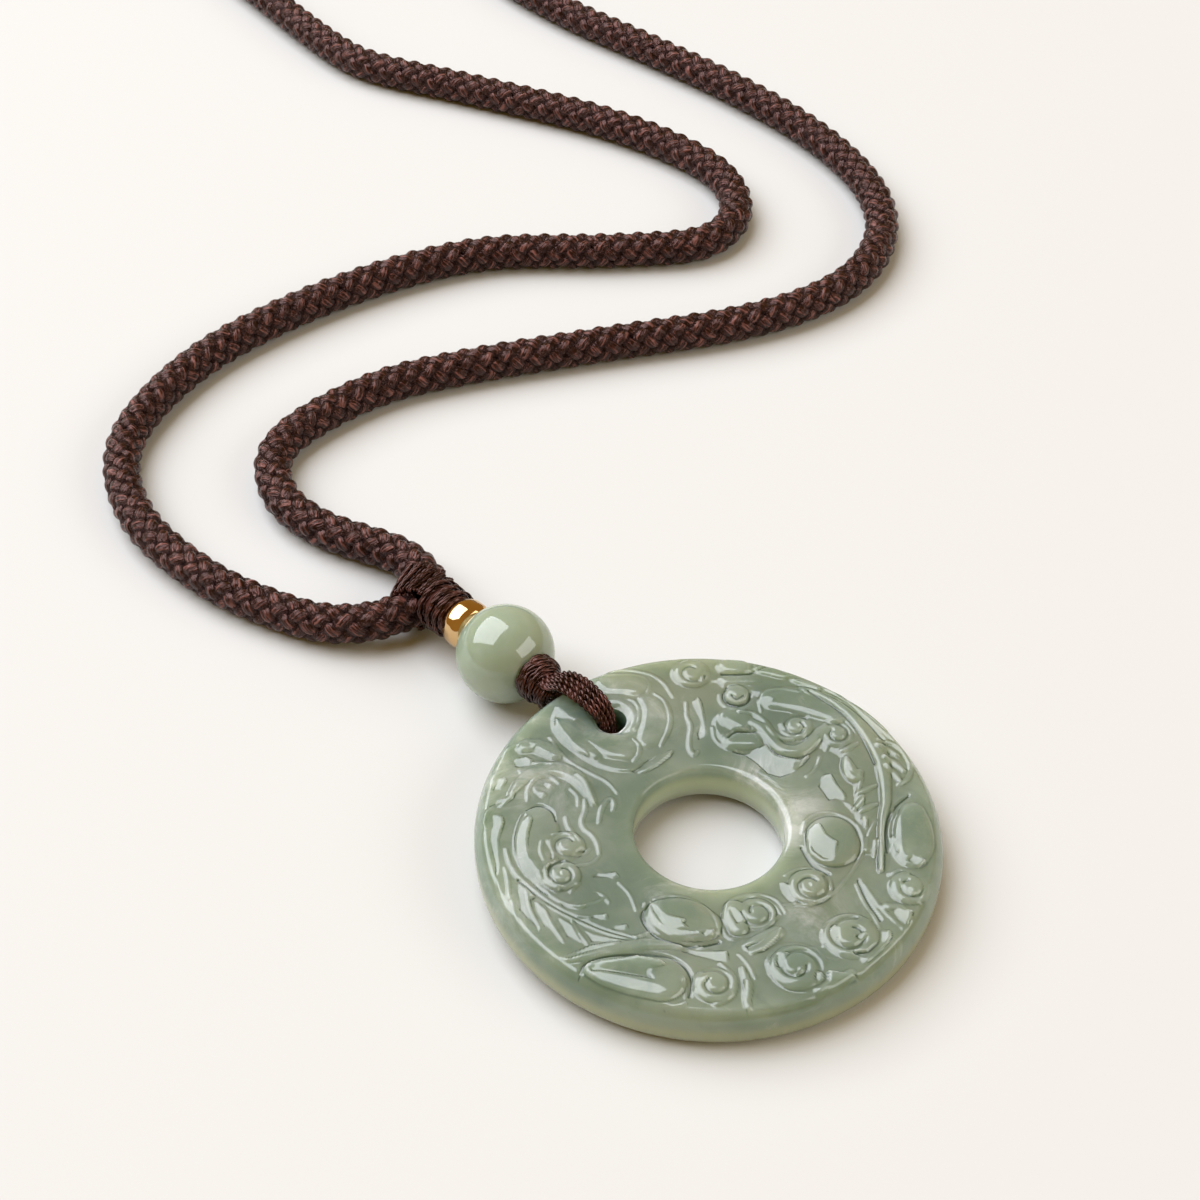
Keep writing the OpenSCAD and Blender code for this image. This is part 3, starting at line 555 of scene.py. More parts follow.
# Polished flats that catch the light: corners in the same measure.
FACETS = [
    # breast, edge leaves and head
    ((-80, 0), (-76.6, 3.4), (-75.4, 1.4), (-76.8, -6), (-77.2, -12), (-76.2, -20), (-73.6, -27),
     (-70, -33.5), (-67.6, -38), (-71, -36), (-75.5, -31), (-79.2, -24), (-81.6, -16), (-82, -8)),
    ((-92, 4), (-90, 4.8), (-88, 3.2), (-87.4, 0), (-88.4, -4.5), (-89.4, -9), (-88.8, -15), (-89, -22),
     (-89.8, -28.4), (-90.6, -21), (-92, -15), (-93.2, -9), (-92.8, -5), (-91, -2), (-90.8, 1)),
    ((-83, 17), (-83.8, 13.8), (-87.5, 10), (-92, 7.6), (-94, 9), (-91, 11.4), (-87, 13.8)),
    ((-93, 17.8), (-90, 24.4), (-87.6, 25.4), (-86.8, 23), (-89, 19.2)),
    ((-84, 33), (-82.4, 36), (-78.6, 36.6), (-76, 35.2), (-77, 32.6), (-80, 31.2), (-83, 31.4)),
    ((-78, 43.2), (-76.8, 44.6), (-74.6, 44.4), (-73.6, 43), (-75.4, 42)),
    ((-76, 20), (-75.4, 16.6), (-72, 14.4), (-69.6, 15.6), (-70.2, 17.4), (-73.2, 18.2), (-74.4, 20.4)),
    ((-71.2, 21), (-70, 23), (-67.4, 22.4), (-67, 20.8), (-69, 19.8)),
    ((-69, -9.4), (-67.2, -9.4), (-66.6, -13), (-65.2, -17), (-66, -20.4), (-67.4, -19.6), (-67.2, -15),
     (-69, -12)),
    ((-67.4, -21.4), (-69, -23.4), (-71, -27.4), (-70, -31.6), (-66.8, -34.4), (-61, -34), (-65, -32.4),
     (-68, -29), (-68.6, -25)),
    ((-63.8, -28.6), (-62.6, -26), (-61.2, -25.6), (-62, -28.2)),
    # the tail's barbs
    ((-49.6, -27), (-47.4, -25.2), (-40, -24.4), (-38.6, -26.6), (-41, -27.6), (-45, -27)),
    ((-49.6, -35.4), (-46.6, -35), (-44, -37), (-42, -40.6), (-43.2, -42.2), (-44.8, -39),
     (-47, -36.6)),
    ((-80, -31), (-76.6, -34.8), (-73.6, -39), (-75.8, -41), (-74.6, -46), (-72, -51.6), (-70.4, -56),
     (-73, -53.4), (-77, -49), (-79.8, -45.4), (-79.4, -38)),
    ((-72.6, -41.4), (-70.6, -43.6), (-68.4, -47), (-66.8, -51.4), (-66.4, -54.6), (-69.4, -54),
     (-71.6, -49)),
    ((-63, -49.2), (-58, -52.8), (-56.4, -56.4), (-54, -61), (-60, -59), (-61.6, -55)),
    ((-53.4, -54.6), (-49, -57.4), (-42, -59.2), (-33.4, -61), (-42, -60.8), (-50, -61.4)),
    ((-63, -42), (-60, -42.6), (-55.6, -42.8), (-51.2, -42.2), (-53.6, -44), (-57.6, -45),
     (-61.4, -43.8)),
    ((-50.6, -48.6), (-47, -47), (-43.6, -46.6), (-43.4, -49), (-47, -49.6)),
    ((-41.8, -54.4), (-39.4, -52.4), (-35.6, -51.8), (-35, -54), (-38.6, -54.8)),
    ((-64, -70), (-58, -67.6), (-50, -63.6), (-42, -61.8), (-38, -61.6), (-40, -63.4), (-46, -65.4),
     (-52, -67.4), (-58, -70)),
    # cloud
    ((-66.4, 59.4), (-65, 58), (-62, 51), (-58, 45.6), (-53, 41.4), (-51.6, 38.4), (-56, 40.6),
     (-61, 45), (-64.8, 51)),
    ((-33, 31.4), (-30.6, 30.2), (-27, 31.2), (-22, 34.6), (-16, 40.6), (-14.4, 44), (-20, 40.6),
     (-26, 38), (-30, 33.6)),
    # dragon
    ((-3.2, 74), (-5, 71), (-4.4, 68), (-2.6, 63), (-2.4, 59), (-4, 54), (-3.4, 50), (-0.6, 52),
     (0.2, 56), (-0.4, 62), (-1, 67), (-2, 72)),
    ((9, 75.2), (9.4, 72.4), (11.2, 71.8), (10.8, 74.8)),
    ((-2.6, 84.4), (-1.6, 87), (-0.4, 85.4), (-0.6, 82), (-2, 81.4)),
    ((26.4, 72.6), (28.4, 74), (31, 72.6), (30.4, 70.8), (27.4, 70.6)),
    ((6.4, 61.6), (7.6, 62.6), (8.4, 61), (7, 59.8)),
    ((32.4, 58.6), (33.8, 59.2), (35, 56.6), (36.4, 53), (33, 55)),
    ((11, 43.6), (18, 43), (26, 46.6), (28.4, 43), (30.6, 40.8), (36, 39.4), (41, 38.4), (45, 41.6),
     (41, 36), (36, 31.4), (31.4, 29.8), (26, 32), (21, 38), (17, 41.6)),
    ((51, 48.4), (52, 49.4), (53.6, 45.4), (52, 43.6), (51, 44.8)),
    ((50.4, 30.4), (53.4, 30.8), (55.6, 25), (58.8, 19.6), (59.2, 16.8), (56, 17.6), (51.6, 16.8),
     (47.6, 24.6)),
    ((57.6, 16.4), (60.6, 14.6), (62.8, 11.4), (64.8, 8), (61, 10.2), (58.4, 13.4)),
    ((62.6, 11.4), (66.6, 17), (66.4, 13.2), (64, 9.6)),
    ((60.4, 37), (62, 36), (63.4, 31), (63.8, 28), (61.4, 32)),
    # bosses and scrolls
    ((42, -1), (44.6, 1.4), (46.6, 1.6), (49, -4.4), (53.4, -8.6), (52.6, -14), (52, -18), (47, -16.4),
     (43, -12), (41, -5)),
    ((82, -17.6), (84, -15.8), (88.4, -16), (90.2, -18.4), (86.6, -20.8)),
    ((76.8, -4), (76.4, -9.6), (79, -14.4), (78.6, -9), (78, -4)),
    ((64.4, 5), (66, 6.4), (67.2, 4), (66, -0.6), (64.6, 1.6)),
    ((29, -28), (30.6, -28.4), (32, -30), (33, -34), (35, -38.4), (34.8, -41.8), (31.6, -38.4),
     (29, -34.6)),
    ((39.8, -30.4), (41.6, -29), (42.2, -31), (40.4, -32.4)),
    ((7, -42.4), (9, -42.6), (11.6, -46), (13.2, -49.6), (9.4, -51.4), (7.4, -47)),
    ((48, -53), (49.4, -51.6), (51.4, -52.6), (50.8, -56), (50.4, -60), (48, -59), (47.2, -56)),
    ((57.4, -57.6), (61, -55.6), (63, -56.4), (60.6, -59.6), (58, -59.2)),
    ((69, -53.6), (72.4, -54), (72.4, -57), (68, -63.6), (61.6, -69.8), (55.8, -65.2), (62, -64.6),
     (66.6, -60)),
    ((25, -67), (28, -65.4), (30, -66), (27.8, -70), (27.6, -73.6), (25, -73.4), (24.6, -70)),
    ((31, -77), (35, -73), (35, -75.6), (32.4, -78.4)),
    ((40, -74.6), (43, -75.4), (43.6, -78.4), (41, -81), (39.6, -78.8)),
    ((77.6, -27.6), (79, -27), (79.4, -31), (78.4, -32.8), (77.4, -30)),
    ((81, -33), (82.6, -31.4), (84.2, -33.4), (83, -36.2), (81.4, -35)),
    ((73, -42.4), (82.4, -43.4), (80, -49.6), (77, -47.4)),
    ((45.6, -74.6), (57.6, -76.6), (50, -81.8), (43.6, -84.6), (45.6, -79.6)),
    ((12.6, -62), (18, -60), (24, -55.6), (28, -52.4), (26, -58), (20, -64), (14.6, -66)),
    ((-26, -41), (-24, -43), (-18.6, -48), (-11.4, -50.6), (-12.8, -52), (-10.2, -54.8), (-17, -55),
     (-21.6, -51.6), (-24.8, -46)),
    ((-5.6, -56.4), (0.2, -54.4), (-0.2, -57.4), (-3.4, -58.6)),
    ((-51.6, -75), (-46, -72), (-36, -70.8), (-32, -69.8), (-22, -71.6), (-20, -73.2), (-25, -75),
     (-27, -78), (-25.6, -80.6), (-34, -79), (-44, -77.4), (-50, -77)),
    ((-14.6, -82), (-13, -78.4), (-12.2, -80.4), (-13.4, -83.8)),
    ((-14, -64.8), (-4, -64.6), (5, -65), (5.6, -69.6), (2, -70.4), (-3, -68.6), (-9, -66.8)),
    ((-9.4, -84.4), (-8, -80.8), (-4.4, -78), (-2.6, -78.6), (-4.6, -81.4)),
    ((-12, -62.2), (-7, -61.6), (-4, -63.2), (-8, -63.8)),
    ((11.6, -79.6), (13, -80), (13.4, -86), (12.6, -92), (11.2, -87)),
    ((-22, -93.4), (-16, -91.4), (-11.6, -89.8), (-13, -92.4), (-18, -94)),
]
# Spiral grooves in the domes: depth, centre, radius, half width, start in degrees, turns.
SPIRALS = [
    (44, -0.8, -81.8, 7.4, 1.5, 120, -0.95),
    (46, 18, -44.8, 7, 1.5, -170, 1.0),
    (50, 41, -30.5, 8, 1.6, 40, -1.0),
    (54, 56, -56.8, 9.6, 1.8, 75, 1.0),
    (54, 33, -72.6, 9.4, 1.8, -20, 1.05),
    (44, 82.3, -31.3, 7, 1.4, 80, -0.95),
    (48, 39.8, 57, 6.4, 1.4, 50, 1.0),
    (48, 57.2, 52.8, 6.2, 1.4, 120, -0.95),
    (48, -62.2, -27.4, 6.8, 1.4, 95, 1.0),
    (42, -60.4, -11.4, 6.8, 1.4, -20, -0.85),
    (36, -5.5, 88, 6.2, 1.2, -20, -0.8),
]
# The height chart reaches so far from the disc's centre, with a point at every step.
CHART_REACH, CHART_STEP = 104, 0.25
# The tables were drawn as the raised forms are seen from the front, so all of it moves forward.
CHART_SHIFT = 1.7
CHAIN_STEPS, SPIRAL_STEPS = 6, 22
# A spiral's groove winds in by so much of its radius, and ends narrower by so much.
SPIRAL_IN, SPIRAL_THIN = 0.6, 0.55
# A form narrower than this is a ridge: it is so much thinner than drawn, and stands so much of its
# half width above what it crosses. Domes and pads have so much of the height in their row.
RIDGE_W, RIDGE_THIN, RIDGE_SHARE, DOME_SHARE, PAD_SHARE = 2.45, 0.82, 0.58, 0.62, 0.6
# How each kind is rounded across: the smaller the power, the flatter its top.
GROUND_POWER, PAD_POWER, DOME_POWER = 0.3, 0.28, 0.34
SPIRAL_POWER, RIDGE_POWER, CREASE_POWER = 0.8, 0.7, 0.9
# Steps of the chart over which the grounds and pads, the domes and at last the whole are polished.
GROUND_SOFT, DOME_SOFT, LAST_SOFT = 3, 2, 1
# A facet's slope and the direction it rises in, its lift over what it covers, and its most height
# along its length.
FACET_SLOPE, FACET_UP, FACET_LIFT, FACET_RUN = 0.27, (0.826, 0.564), 0.05, 0.4
# The mark of how proud a place is, from which the stone's colour paints shade in the creases and a
# highlight on what stands proud: steps of the chart that count as near it, and the mark for a mm.
MARK_REACH, MARK_SHARE = 5, 3.0
# The top's edge: a tight bend, then from so many degrees a wide one down to the side.
TOP_EDGE_R, TOP_RIM_R, EDGE_TO = 0.6, 2.6, 50
TOP_OUT = DISC_R - TOP_RIM_R + (TOP_RIM_R - TOP_EDGE_R) * math.cos(math.radians(EDGE_TO))
TOP_DROP = TOP_EDGE_R + (TOP_RIM_R - TOP_EDGE_R) * math.sin(math.radians(EDGE_TO))
# The ground is lower by STEP mm round the centre hole, and by less on the side away from STEP_TURN.
# It rises between two circles, and leans on up to a third.
CROWN_Z, STEP, STEP_FROM, STEP_TO = 0.15, 0.09, 8.5, 10.6
STEP_TURN, STEP_MEAN, STEP_SWING, STEP_LEAST = math.radians(20), 0.5, 0.9, 0.3
LEAN, RIM_FROM = 0.045, 20.3
# The carving runs out over a band at the rim, a share of the radius that is narrower at the back.
BAND, BAND_LESS, BAND_POWER = 0.045, 0.03, 0.8
# At the centre hole it starts so much of the edge's bend away, and is whole so many mm further on.
CUT_FROM, CUT_OVER = 0.3, 0.9
# The small hole's edges are worn so deep, over so far.
WORN, WORN_OVER = 0.45, 0.5
# Heights of the points up the hole's wall, rows of points over the top, and steps round the disc.
WALL_ROWS, TOP_ROWS, ROUND_STEPS = (0.35, 1.4, 2.6, 3.6), 108, 700


def nearest(x, y, chain):
    """Share of the half width from the nearest part of the chain."""
    share = np.full(x.shape, 1e9)
    for a, b in zip(chain, chain[1:]):
        ux, uy = b[0] - a[0], b[1] - a[1]
        t = np.clip(((x - a[0]) * ux + (y - a[1]) * uy) / (ux * ux + uy * uy + 1e-12), 0, 1)
        away = np.hypot(x - a[0] - t * ux, y - a[1] - t * uy)
        share = np.minimum(share, away / (a[2] + t * (b[2] - a[2])))
    return share


def spiral(cx, cy, r, w, start, turns):
    """A groove that winds in from a dome's edge to the knob in its middle."""
    steps = int(abs(turns) * SPIRAL_STEPS)
    line = []
    for k in range(steps + 1):
        share = k / steps
        angle, away = math.radians(start + 360 * turns * share), r * (1 - SPIRAL_IN * share)
        line.append((cx + away * math.cos(angle), cy + away * math.sin(angle),
                     w * (1 - SPIRAL_THIN * share**2)))
    return line


def shaped(height, across, rise, chain, power, under=None):
    """Raise a form in the chart, stand it on what is under it, or cut it in if rise is negative."""
    chain = chain * 2 if len(chain) == 1 else chain
    dense = chain if len(chain) < 3 else [tuple(p) for p in through(chain, each=CHAIN_STEPS)]
    reach = max(p[2] for p in dense)
    lo = [max(0, int((min(p[k] for p in dense) - reach - across[0]) / CHART_STEP)) for k in (0, 1)]
    hi = [int((max(p[k] for p in dense) + reach - across[0]) / CHART_STEP) + 2 for k in (0, 1)]
    part = height[lo[0]:hi[0], lo[1]:hi[1]]
    x, y = np.meshgrid(across[lo[0]:hi[0]], across[lo[1]:hi[1]], indexing="ij")
    form = rise / 100 * np.clip(1 - nearest(x, y, dense) ** 2, 0, 1) ** power
    if under is not None:
        form += under[lo[0]:hi[0], lo[1]:hi[1]]
    part[:] = part + form if rise < 0 else np.maximum(part, form)


def softened(height, width):
    """The chart blurred over so many steps to each side, as a long polish rounds the stone."""
    for axis in (0, 1):
        height = sum(k * np.roll(height, i - width, axis) for i, k in enumerate(bell(width)))
    return height


def faceted(height, across, corners):
    """Lay a tipped flat over a polygon, at the height of what it covers.

    A long one follows the bend of what it covers along its length.
    """
    corners = np.array(corners)
    lo, hi = [((bound - across[0]) / CHART_STEP).astype(int)
              for bound in (corners.min(0), corners.max(0) + 1)]
    x, y = np.meshgrid(across[lo[0]:hi[0]], across[lo[1]:hi[1]], indexing="ij")
    inside = np.zeros(x.shape, bool)
    for (ax, ay), (bx, by) in zip(corners, np.roll(corners, -1, 0)):
        inside ^= ((ay > y) != (by > y)) & (x < (bx - ax) * (y - ay) / (by - ay + 1e-12) + ax)
    part = height[lo[0]:hi[0], lo[1]:hi[1]]
    points = np.stack([x[inside], y[inside]], 1) * DISC_R / 100
    points -= points.mean(0)
    axis = np.linalg.svd(points, full_matrices=False)[2][0]
    side = np.array([-axis[1], axis[0]])
    along, aside = points @ axis, points @ side
    rise, cross = FACET_SLOPE * np.dot(FACET_UP, axis), FACET_SLOPE * np.dot(FACET_UP, side)
    share = min(1, FACET_RUN / 2 / (abs(rise) * np.abs(along).max() + 1e-9))
    if share < 1:
        cross = math.copysign(FACET_SLOPE, cross)
    level = part[inside] - cross * aside
    base = np.polyval(np.polyfit(along, level, 2), along) if share < 1 else level.mean()
    part[inside] = base + FACET_LIFT + cross * aside + share * rise * along


def carving(x, y):
    """Height of the carving in mm, and how far it stands over what is near it, at the points."""
    across = np.arange(-CHART_REACH, CHART_REACH + CHART_STEP, CHART_STEP)
    height = np.zeros((len(across), len(across)))
    for rise, *chain in GROUNDS:
        shaped(height, across, rise, chain, GROUND_POWER)
    height = softened(height, GROUND_SOFT)
    ridges = [row for row in FORMS if max(p[2] for p in row[1:]) < RIDGE_W]
    for rise, *chain in PADS:
        shaped(height, across, rise * PAD_SHARE, chain, PAD_POWER)
    height = softened(height, GROUND_SOFT)
    for rise, *chain in (row for row in FORMS if row not in ridges):
        shaped(height, across, rise * DOME_SHARE, chain, DOME_POWER)
    for depth, *round_it in SPIRALS:
        shaped(height, across, -depth * DOME_SHARE, spiral(*round_it), SPIRAL_POWER)
    height = softened(height, DOME_SOFT)
    for corners in FACETS:
        faceted(height, across, corners)
    under = height.copy()
    for rise, *chain in ridges:
        chain = [(cx, cy, w * RIDGE_THIN) for cx, cy, w in chain]
        stand = min(rise, RIDGE_SHARE * 100 * max(p[2] for p in chain) * DISC_R / 100)
        shaped(height, across, stand, chain, RIDGE_POWER, under)
    for depth, *chain in CREASES:
        shaped(height, across, -depth, chain, CREASE_POWER)
    height = softened(height, LAST_SOFT)
    u, v = (x - across[0]) / CHART_STEP, (y - across[0]) / CHART_STEP
    i, j = u.astype(int), v.astype(int)
    fu, fv = u - i, v - j
    return [(chart[i, j] * (1 - fv) + chart[i, j + 1] * fv) * (1 - fu)
            + (chart[i + 1, j] * (1 - fv) + chart[i + 1, j + 1] * fv) * fu
            for chart in (height, height - softened(height, MARK_REACH))]


def crown(r, turn):
    """Height of the ground over the disc's plain top."""
    up = np.clip((r - STEP_FROM) / (STEP_TO - STEP_FROM), 0, 1)
    share = np.clip(STEP_MEAN + STEP_SWING * np.cos(turn - STEP_TURN), STEP_LEAST, 1)
    step = STEP * share * (1 - up * up * (3 - 2 * up))
    return CROWN_Z - step + LEAN * (np.clip(r, 0, RIM_FROM) - RIM_FROM)


def carved_disc():
    """The disc with its carving pressed up from its top, and the thread's hole cut through."""
    top = np.linspace(BORE_R + EDGE_R, TOP_OUT, TOP_ROWS)[1:-1]
    outline = ([(BORE_R, z) for z in WALL_ROWS]
               + arc(BORE_R + EDGE_R, DISC_T - EDGE_R, EDGE_R, 180, 90, 6)
               + [(r, DISC_T) for r in top]
               + arc(TOP_OUT, DISC_T - TOP_EDGE_R, TOP_EDGE_R, 90, EDGE_TO, 6)[:-1]
               + arc(DISC_R - TOP_RIM_R, DISC_T - TOP_DROP, TOP_RIM_R, EDGE_TO, 0, 6)
               + arc(DISC_R - RIM_R, RIM_R, RIM_R, 0, -90, 5)
               + [(18, 0), (BORE_R + WALL_ROWS[0], 0)])
    disc = spun("carved_disc", outline, ROUND_STEPS, Matrix())
    mesh = disc.data
    co = points_of(mesh)
    x, y, z = co.T / MM
    r = np.hypot(x, y)
    upper = z > DISC_T - TOP_DROP * 0.98
    upper &= (r > BORE_R + CUT_FROM * EDGE_R) | (z > DISC_T - EDGE_R)
    chart_x, chart_y = x[upper] * 100 / DISC_R, y[upper] * 100 / DISC_R + CHART_SHIFT
    band = BAND - BAND_LESS * np.clip(chart_y / 100, -0.2, 0.6)
    fade = np.clip((1 - r[upper] / DISC_R) / band, 0, 1) ** BAND_POWER
    inner = np.clip((r[upper] - BORE_R - CUT_FROM * EDGE_R) / CUT_OVER, 0, 1)
    low = np.clip((z[upper] - DISC_T + TOP_DROP) / TOP_DROP, 0, 1)
    carved, proud = carving(chart_x, chart_y)
    z[upper] += carved * fade * inner + crown(r[upper], np.arctan2(y[upper], x[upper])) * low
    # The UV carries how proud each place stands, for the painted crease shade and ridge highlight in
    # the stone's colour.
    mark = np.full(len(r), 0.5)
    mark[upper] += MARK_SHARE * proud * fade * inner
    corner = corners_of(mesh)
    uv = np.stack([mark[corner], np.full(len(corner), 0.5)], 1)
    mesh.uv_layers[0].data.foreach_set("uv", uv.ravel())
    # The small hole's edges are worn round, above and below.
    from_hole = np.hypot(x - thread_hole[0], y - thread_hole[1])
    worn = WORN * np.exp(-(np.clip(from_hole - THREAD_HOLE_R, 0, None) / WORN_OVER) ** 2)
    z[upper] -= worn[upper]
    back = z < 0.01
    z[back] += worn[back]
    co[:, 2] = z * MM
    mesh.vertices.foreach_set("co", co.ravel())
    bm = bmesh.new()
    bmesh.ops.create_cone(bm, cap_ends=True, segments=56, radius1=THREAD_HOLE_R * MM,
                          radius2=THREAD_HOLE_R * MM, depth=4 * DISC_T * MM)
    bm.transform(Matrix.Translation((*(thread_hole * MM), 0)))
    drill = as_object("drill", bm, bpy.data.meshes.new("drill"))
    cut = disc.modifiers.new("thread_hole", "BOOLEAN")
    cut.object, cut.operation, cut.solver = drill, "DIFFERENCE", "EXACT"
    graph = bpy.context.evaluated_depsgraph_get()
    drilled = bpy.data.meshes.new_from_object(disc.evaluated_get(graph))
    disc.modifiers.clear()
    disc.data = drilled
    bpy.data.meshes.remove(mesh)
    bpy.data.objects.remove(drill)
    drilled.transform(disc_place)
    drilled.shade_smooth()
    return disc


disc = carved_disc()
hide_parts("jade_disc")

# ---------------------------------------------------------------- bead and spacer
def drilled(half, soft, straight, start, side):
    """Outline of a drilled piece: its side from the bottom up, and its bore with softened ends.

    Each end's bend of radius soft starts at so many degrees, so far from the end of the piece.
    """
    bend = STEM_HOLE_R + soft
    return ([(STEM_HOLE_R, -half + straight)] + arc(bend, -half + soft, soft, start, 270, 4) + side
            + arc(bend, half - soft, soft, 90, 360 - start, 4) + [(STEM_HOLE_R, half - straight)])


# The bead's side is an arc that runs out in a flat end; between them lies a small edge.
BEAD_END_R, BEAD_EDGE_W, BEAD_EDGE_H = BEAD_D * 0.2, 0.25, 0.22
half, bead_sag = BEAD_L / 2, BEAD_D / 2 - BEAD_END_R
bead_arc_r = (bead_sag**2 + BEAD_L**2 / 4) / (2 * bead_sag)
bead_angle = math.degrees(math.asin((half - BEAD_EDGE_H) / bead_arc_r))
bead_side = [(BEAD_END_R - BEAD_EDGE_W, -half),
             *arc(BEAD_D / 2 - bead_arc_r, 0, bead_arc_r, -bead_angle, bead_angle, 60),
             (BEAD_END_R - BEAD_EDGE_W, half)]
bead = spun("round_bead", drilled(half, 0.35, 0.35, 200, bead_side), 128, line_place(BEAD_S))
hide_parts("jade_bead")

half = SPACER_L / 2
round_out, round_up = SPACER_D / 2 - SPACER_ROUND, half - SPACER_ROUND
spacer_side = (arc(round_out, -round_up, SPACER_ROUND, -90, 0, 16)
               + arc(round_out, round_up, SPACER_ROUND, 0, 90, 16))
spacer = spun("round_spacer", drilled(half, 0.25, 0.3, 190, spacer_side), 96, line_place(SPACER_S))
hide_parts("gold_spacer")

# ---------------------------------------------------------------- thread through the small hole
join_xy = JOIN_S * line_way
reach = np.linalg.norm(join_xy - thread_hole)
loop_way = (join_xy - thread_hole) / reach
loop_side = np.array([-loop_way[1], loop_way[0], 0])
# Heights of the disc's top at the hole, and of the bundle's middle on the surface and over the disc.
THREAD_CLEAR = 0.1
disc_slope = math.hypot(disc_up.x, disc_up.y) / disc_up.z
top_z = disc_back.z / MM + disc_slope * float(thread_hole @ line_way) + DISC_T
rest_z = THREAD_CLEAR + THREAD_T / 2
over_z = top_z + RELIEF + THREAD_CLEAR + THREAD_T / 2
# In the hole the bundle keeps so far from its middle.
hole_q = THREAD_HOLE_R - THREAD_T / 2 - 0.3
t = THREAD_T
# Points of the bundle: distance from the small hole towards the whipping, and height. It starts
# inside the whipping, passes over the disc, goes down the hole and comes back beneath.
LOOP = [
    (reach + 2.6, stem_z(JOIN_S + 2.6) + 0.6), (reach + 1.4, stem_z(JOIN_S + 1.4) + 0.95),
    (reach - 0.1, stem_z(JOIN_S) + 1.2), (0.78 * reach, over_z + 0.25), (0.55 * reach, over_z + 0.35),
    (0.34 * reach, over_z - 0.15), (hole_q + 0.35 * t, top_z + 0.55 * t),
    (hole_q * 0.45, top_z - 0.2 * DISC_T), (hole_q * 0.2, top_z - 0.5 * DISC_T),
    (hole_q * 0.3, rest_z + 1.6 * t), (hole_q + 0.05 * t, rest_z + 0.3 * t), (0.25 * reach, rest_z),
    (0.5 * reach, rest_z), (0.78 * reach, rest_z + 0.1 * t), (reach - 0.1, rest_z + 0.9 * t),
    (reach + 0.7, rest_z + 0.45 * DISC_T), (reach + 1.6, stem_z(JOIN_S + 1.6) - 0.9),
    (reach + 2.6, stem_z(JOIN_S + 2.6) - 0.4)]
LOOP_STEPS = 241
loop_line = evenly(through([(*(thread_hole + loop_way * q), z) for q, z in LOOP]), LOOP_STEPS)
loop_line = loop_line * MM + np.array(line_foot)
LOOP_THREADS, LOOP_THREAD_D, LOOP_LAY, LOOP_WANDER = 11, 0.74, 1.5, 0.1
# Width and height of the bundle along it, as shares of THREAD_W and THREAD_T.
LOOP_AT = [0, 0.06, 0.14, 0.24, 0.33, 0.4, 0.5, 0.86, 0.95, 1]
LOOP_WIDE = [0.7, 0.95, 1.2, 1.28, 1.16, 0.98, 0.86, 0.95, 0.6, 0.45]
LOOP_HIGH = [1, 1.15, 1.2, 1.15, 1.1, 1, 1, 1, 1, 0.7]


def thread_band(line, side):
    """Threads laid side by side round a flat bundle that follows the line."""
    _, above = frames(line, side)
    at = run_of(line) / run_of(line)[-1]
    half_w, half_t = [((np.interp(at, LOOP_AT, share) * size - LOOP_THREAD_D) / 2 * MM)[:, None]
                      for share, size in ((LOOP_WIDE, THREAD_W), (LOOP_HIGH, THREAD_T))]
    tubes = []
    for k in range(LOOP_THREADS):
        wave = at * random.choice((1, 2, 3)) + random.random()
        wander = LOOP_WANDER * np.sin(2 * math.pi * wave)
        turn = (2 * math.pi * (k + wander) / LOOP_THREADS)[:, None]
        lane = line + np.cos(turn) * side * half_w + np.sin(turn) * above * half_t
        tubes += twisted(lane, side, LOOP_THREAD_D * MM, LOOP_LAY * MM, any_turn())
    return tubes


loop_tubes = thread_band(loop_line, loop_side)
# The stem goes through the bead and the spacer: three threads, twisted round each other.
STEM_THREADS, STEM_TURNS, STEM_SPREAD, STEM_THREAD_R = 3, 1.5, 0.45, 0.5
stem_side, stem_top, stem_axis = np.array(line_place(JOIN_S).to_3x3()).T
a = np.linspace(0, 1, 90)[:, None]
for k in range(STEM_THREADS):
    turn = 2 * math.pi * (k / STEM_THREADS + STEM_TURNS * a)
    spread = STEM_SPREAD * MM * (np.cos(turn) * stem_side + np.sin(turn) * stem_top)
    stem = np.array(on_line(JOIN_S)) + a * (STEM_END_S - JOIN_S) * MM * stem_axis + spread
    wide, high = frames(stem, stem_side)
    loop_tubes.append((stem, wide * STEM_THREAD_R * MM, high * STEM_THREAD_R * MM))
thread_loop = tube_piece("thread_loop", loop_tubes, 6, uv_length=30)
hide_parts("hanging_thread")


# ---------------------------------------------------------------- whippings
def ring_line(place, r, z, tip, tip_turn, shift=0.0):
    """A closed ring round the z axis of a place, in mm, tipped by so many mm at its sides."""
    a = np.linspace(0, 2 * math.pi, 73)
    line = np.stack([r * np.cos(a) + shift, r * np.sin(a), z + tip * np.cos(a - tip_turn)], 1) * MM
    m = np.array(place)
    line = line @ m[:3, :3].T + m[:3, 3]
    line[-1] = line[0]
    return line


def core(name, place, outer, length):
    """The plain collar under a winding."""
    outline = [(STEM_HOLE_R, 0), (outer, 0.1), (outer, length - 0.1), (STEM_HOLE_R, length)]
    return spun(name, outline, 40, place)


def axis_of(place):
    return np.array(place.to_3x3())[:, 2]


lower_place = line_place(LOWER_S)
LOWER_THREAD_D, LOWER_LAY, LOWER_CORE_R = 0.62, 3.6, 1.95
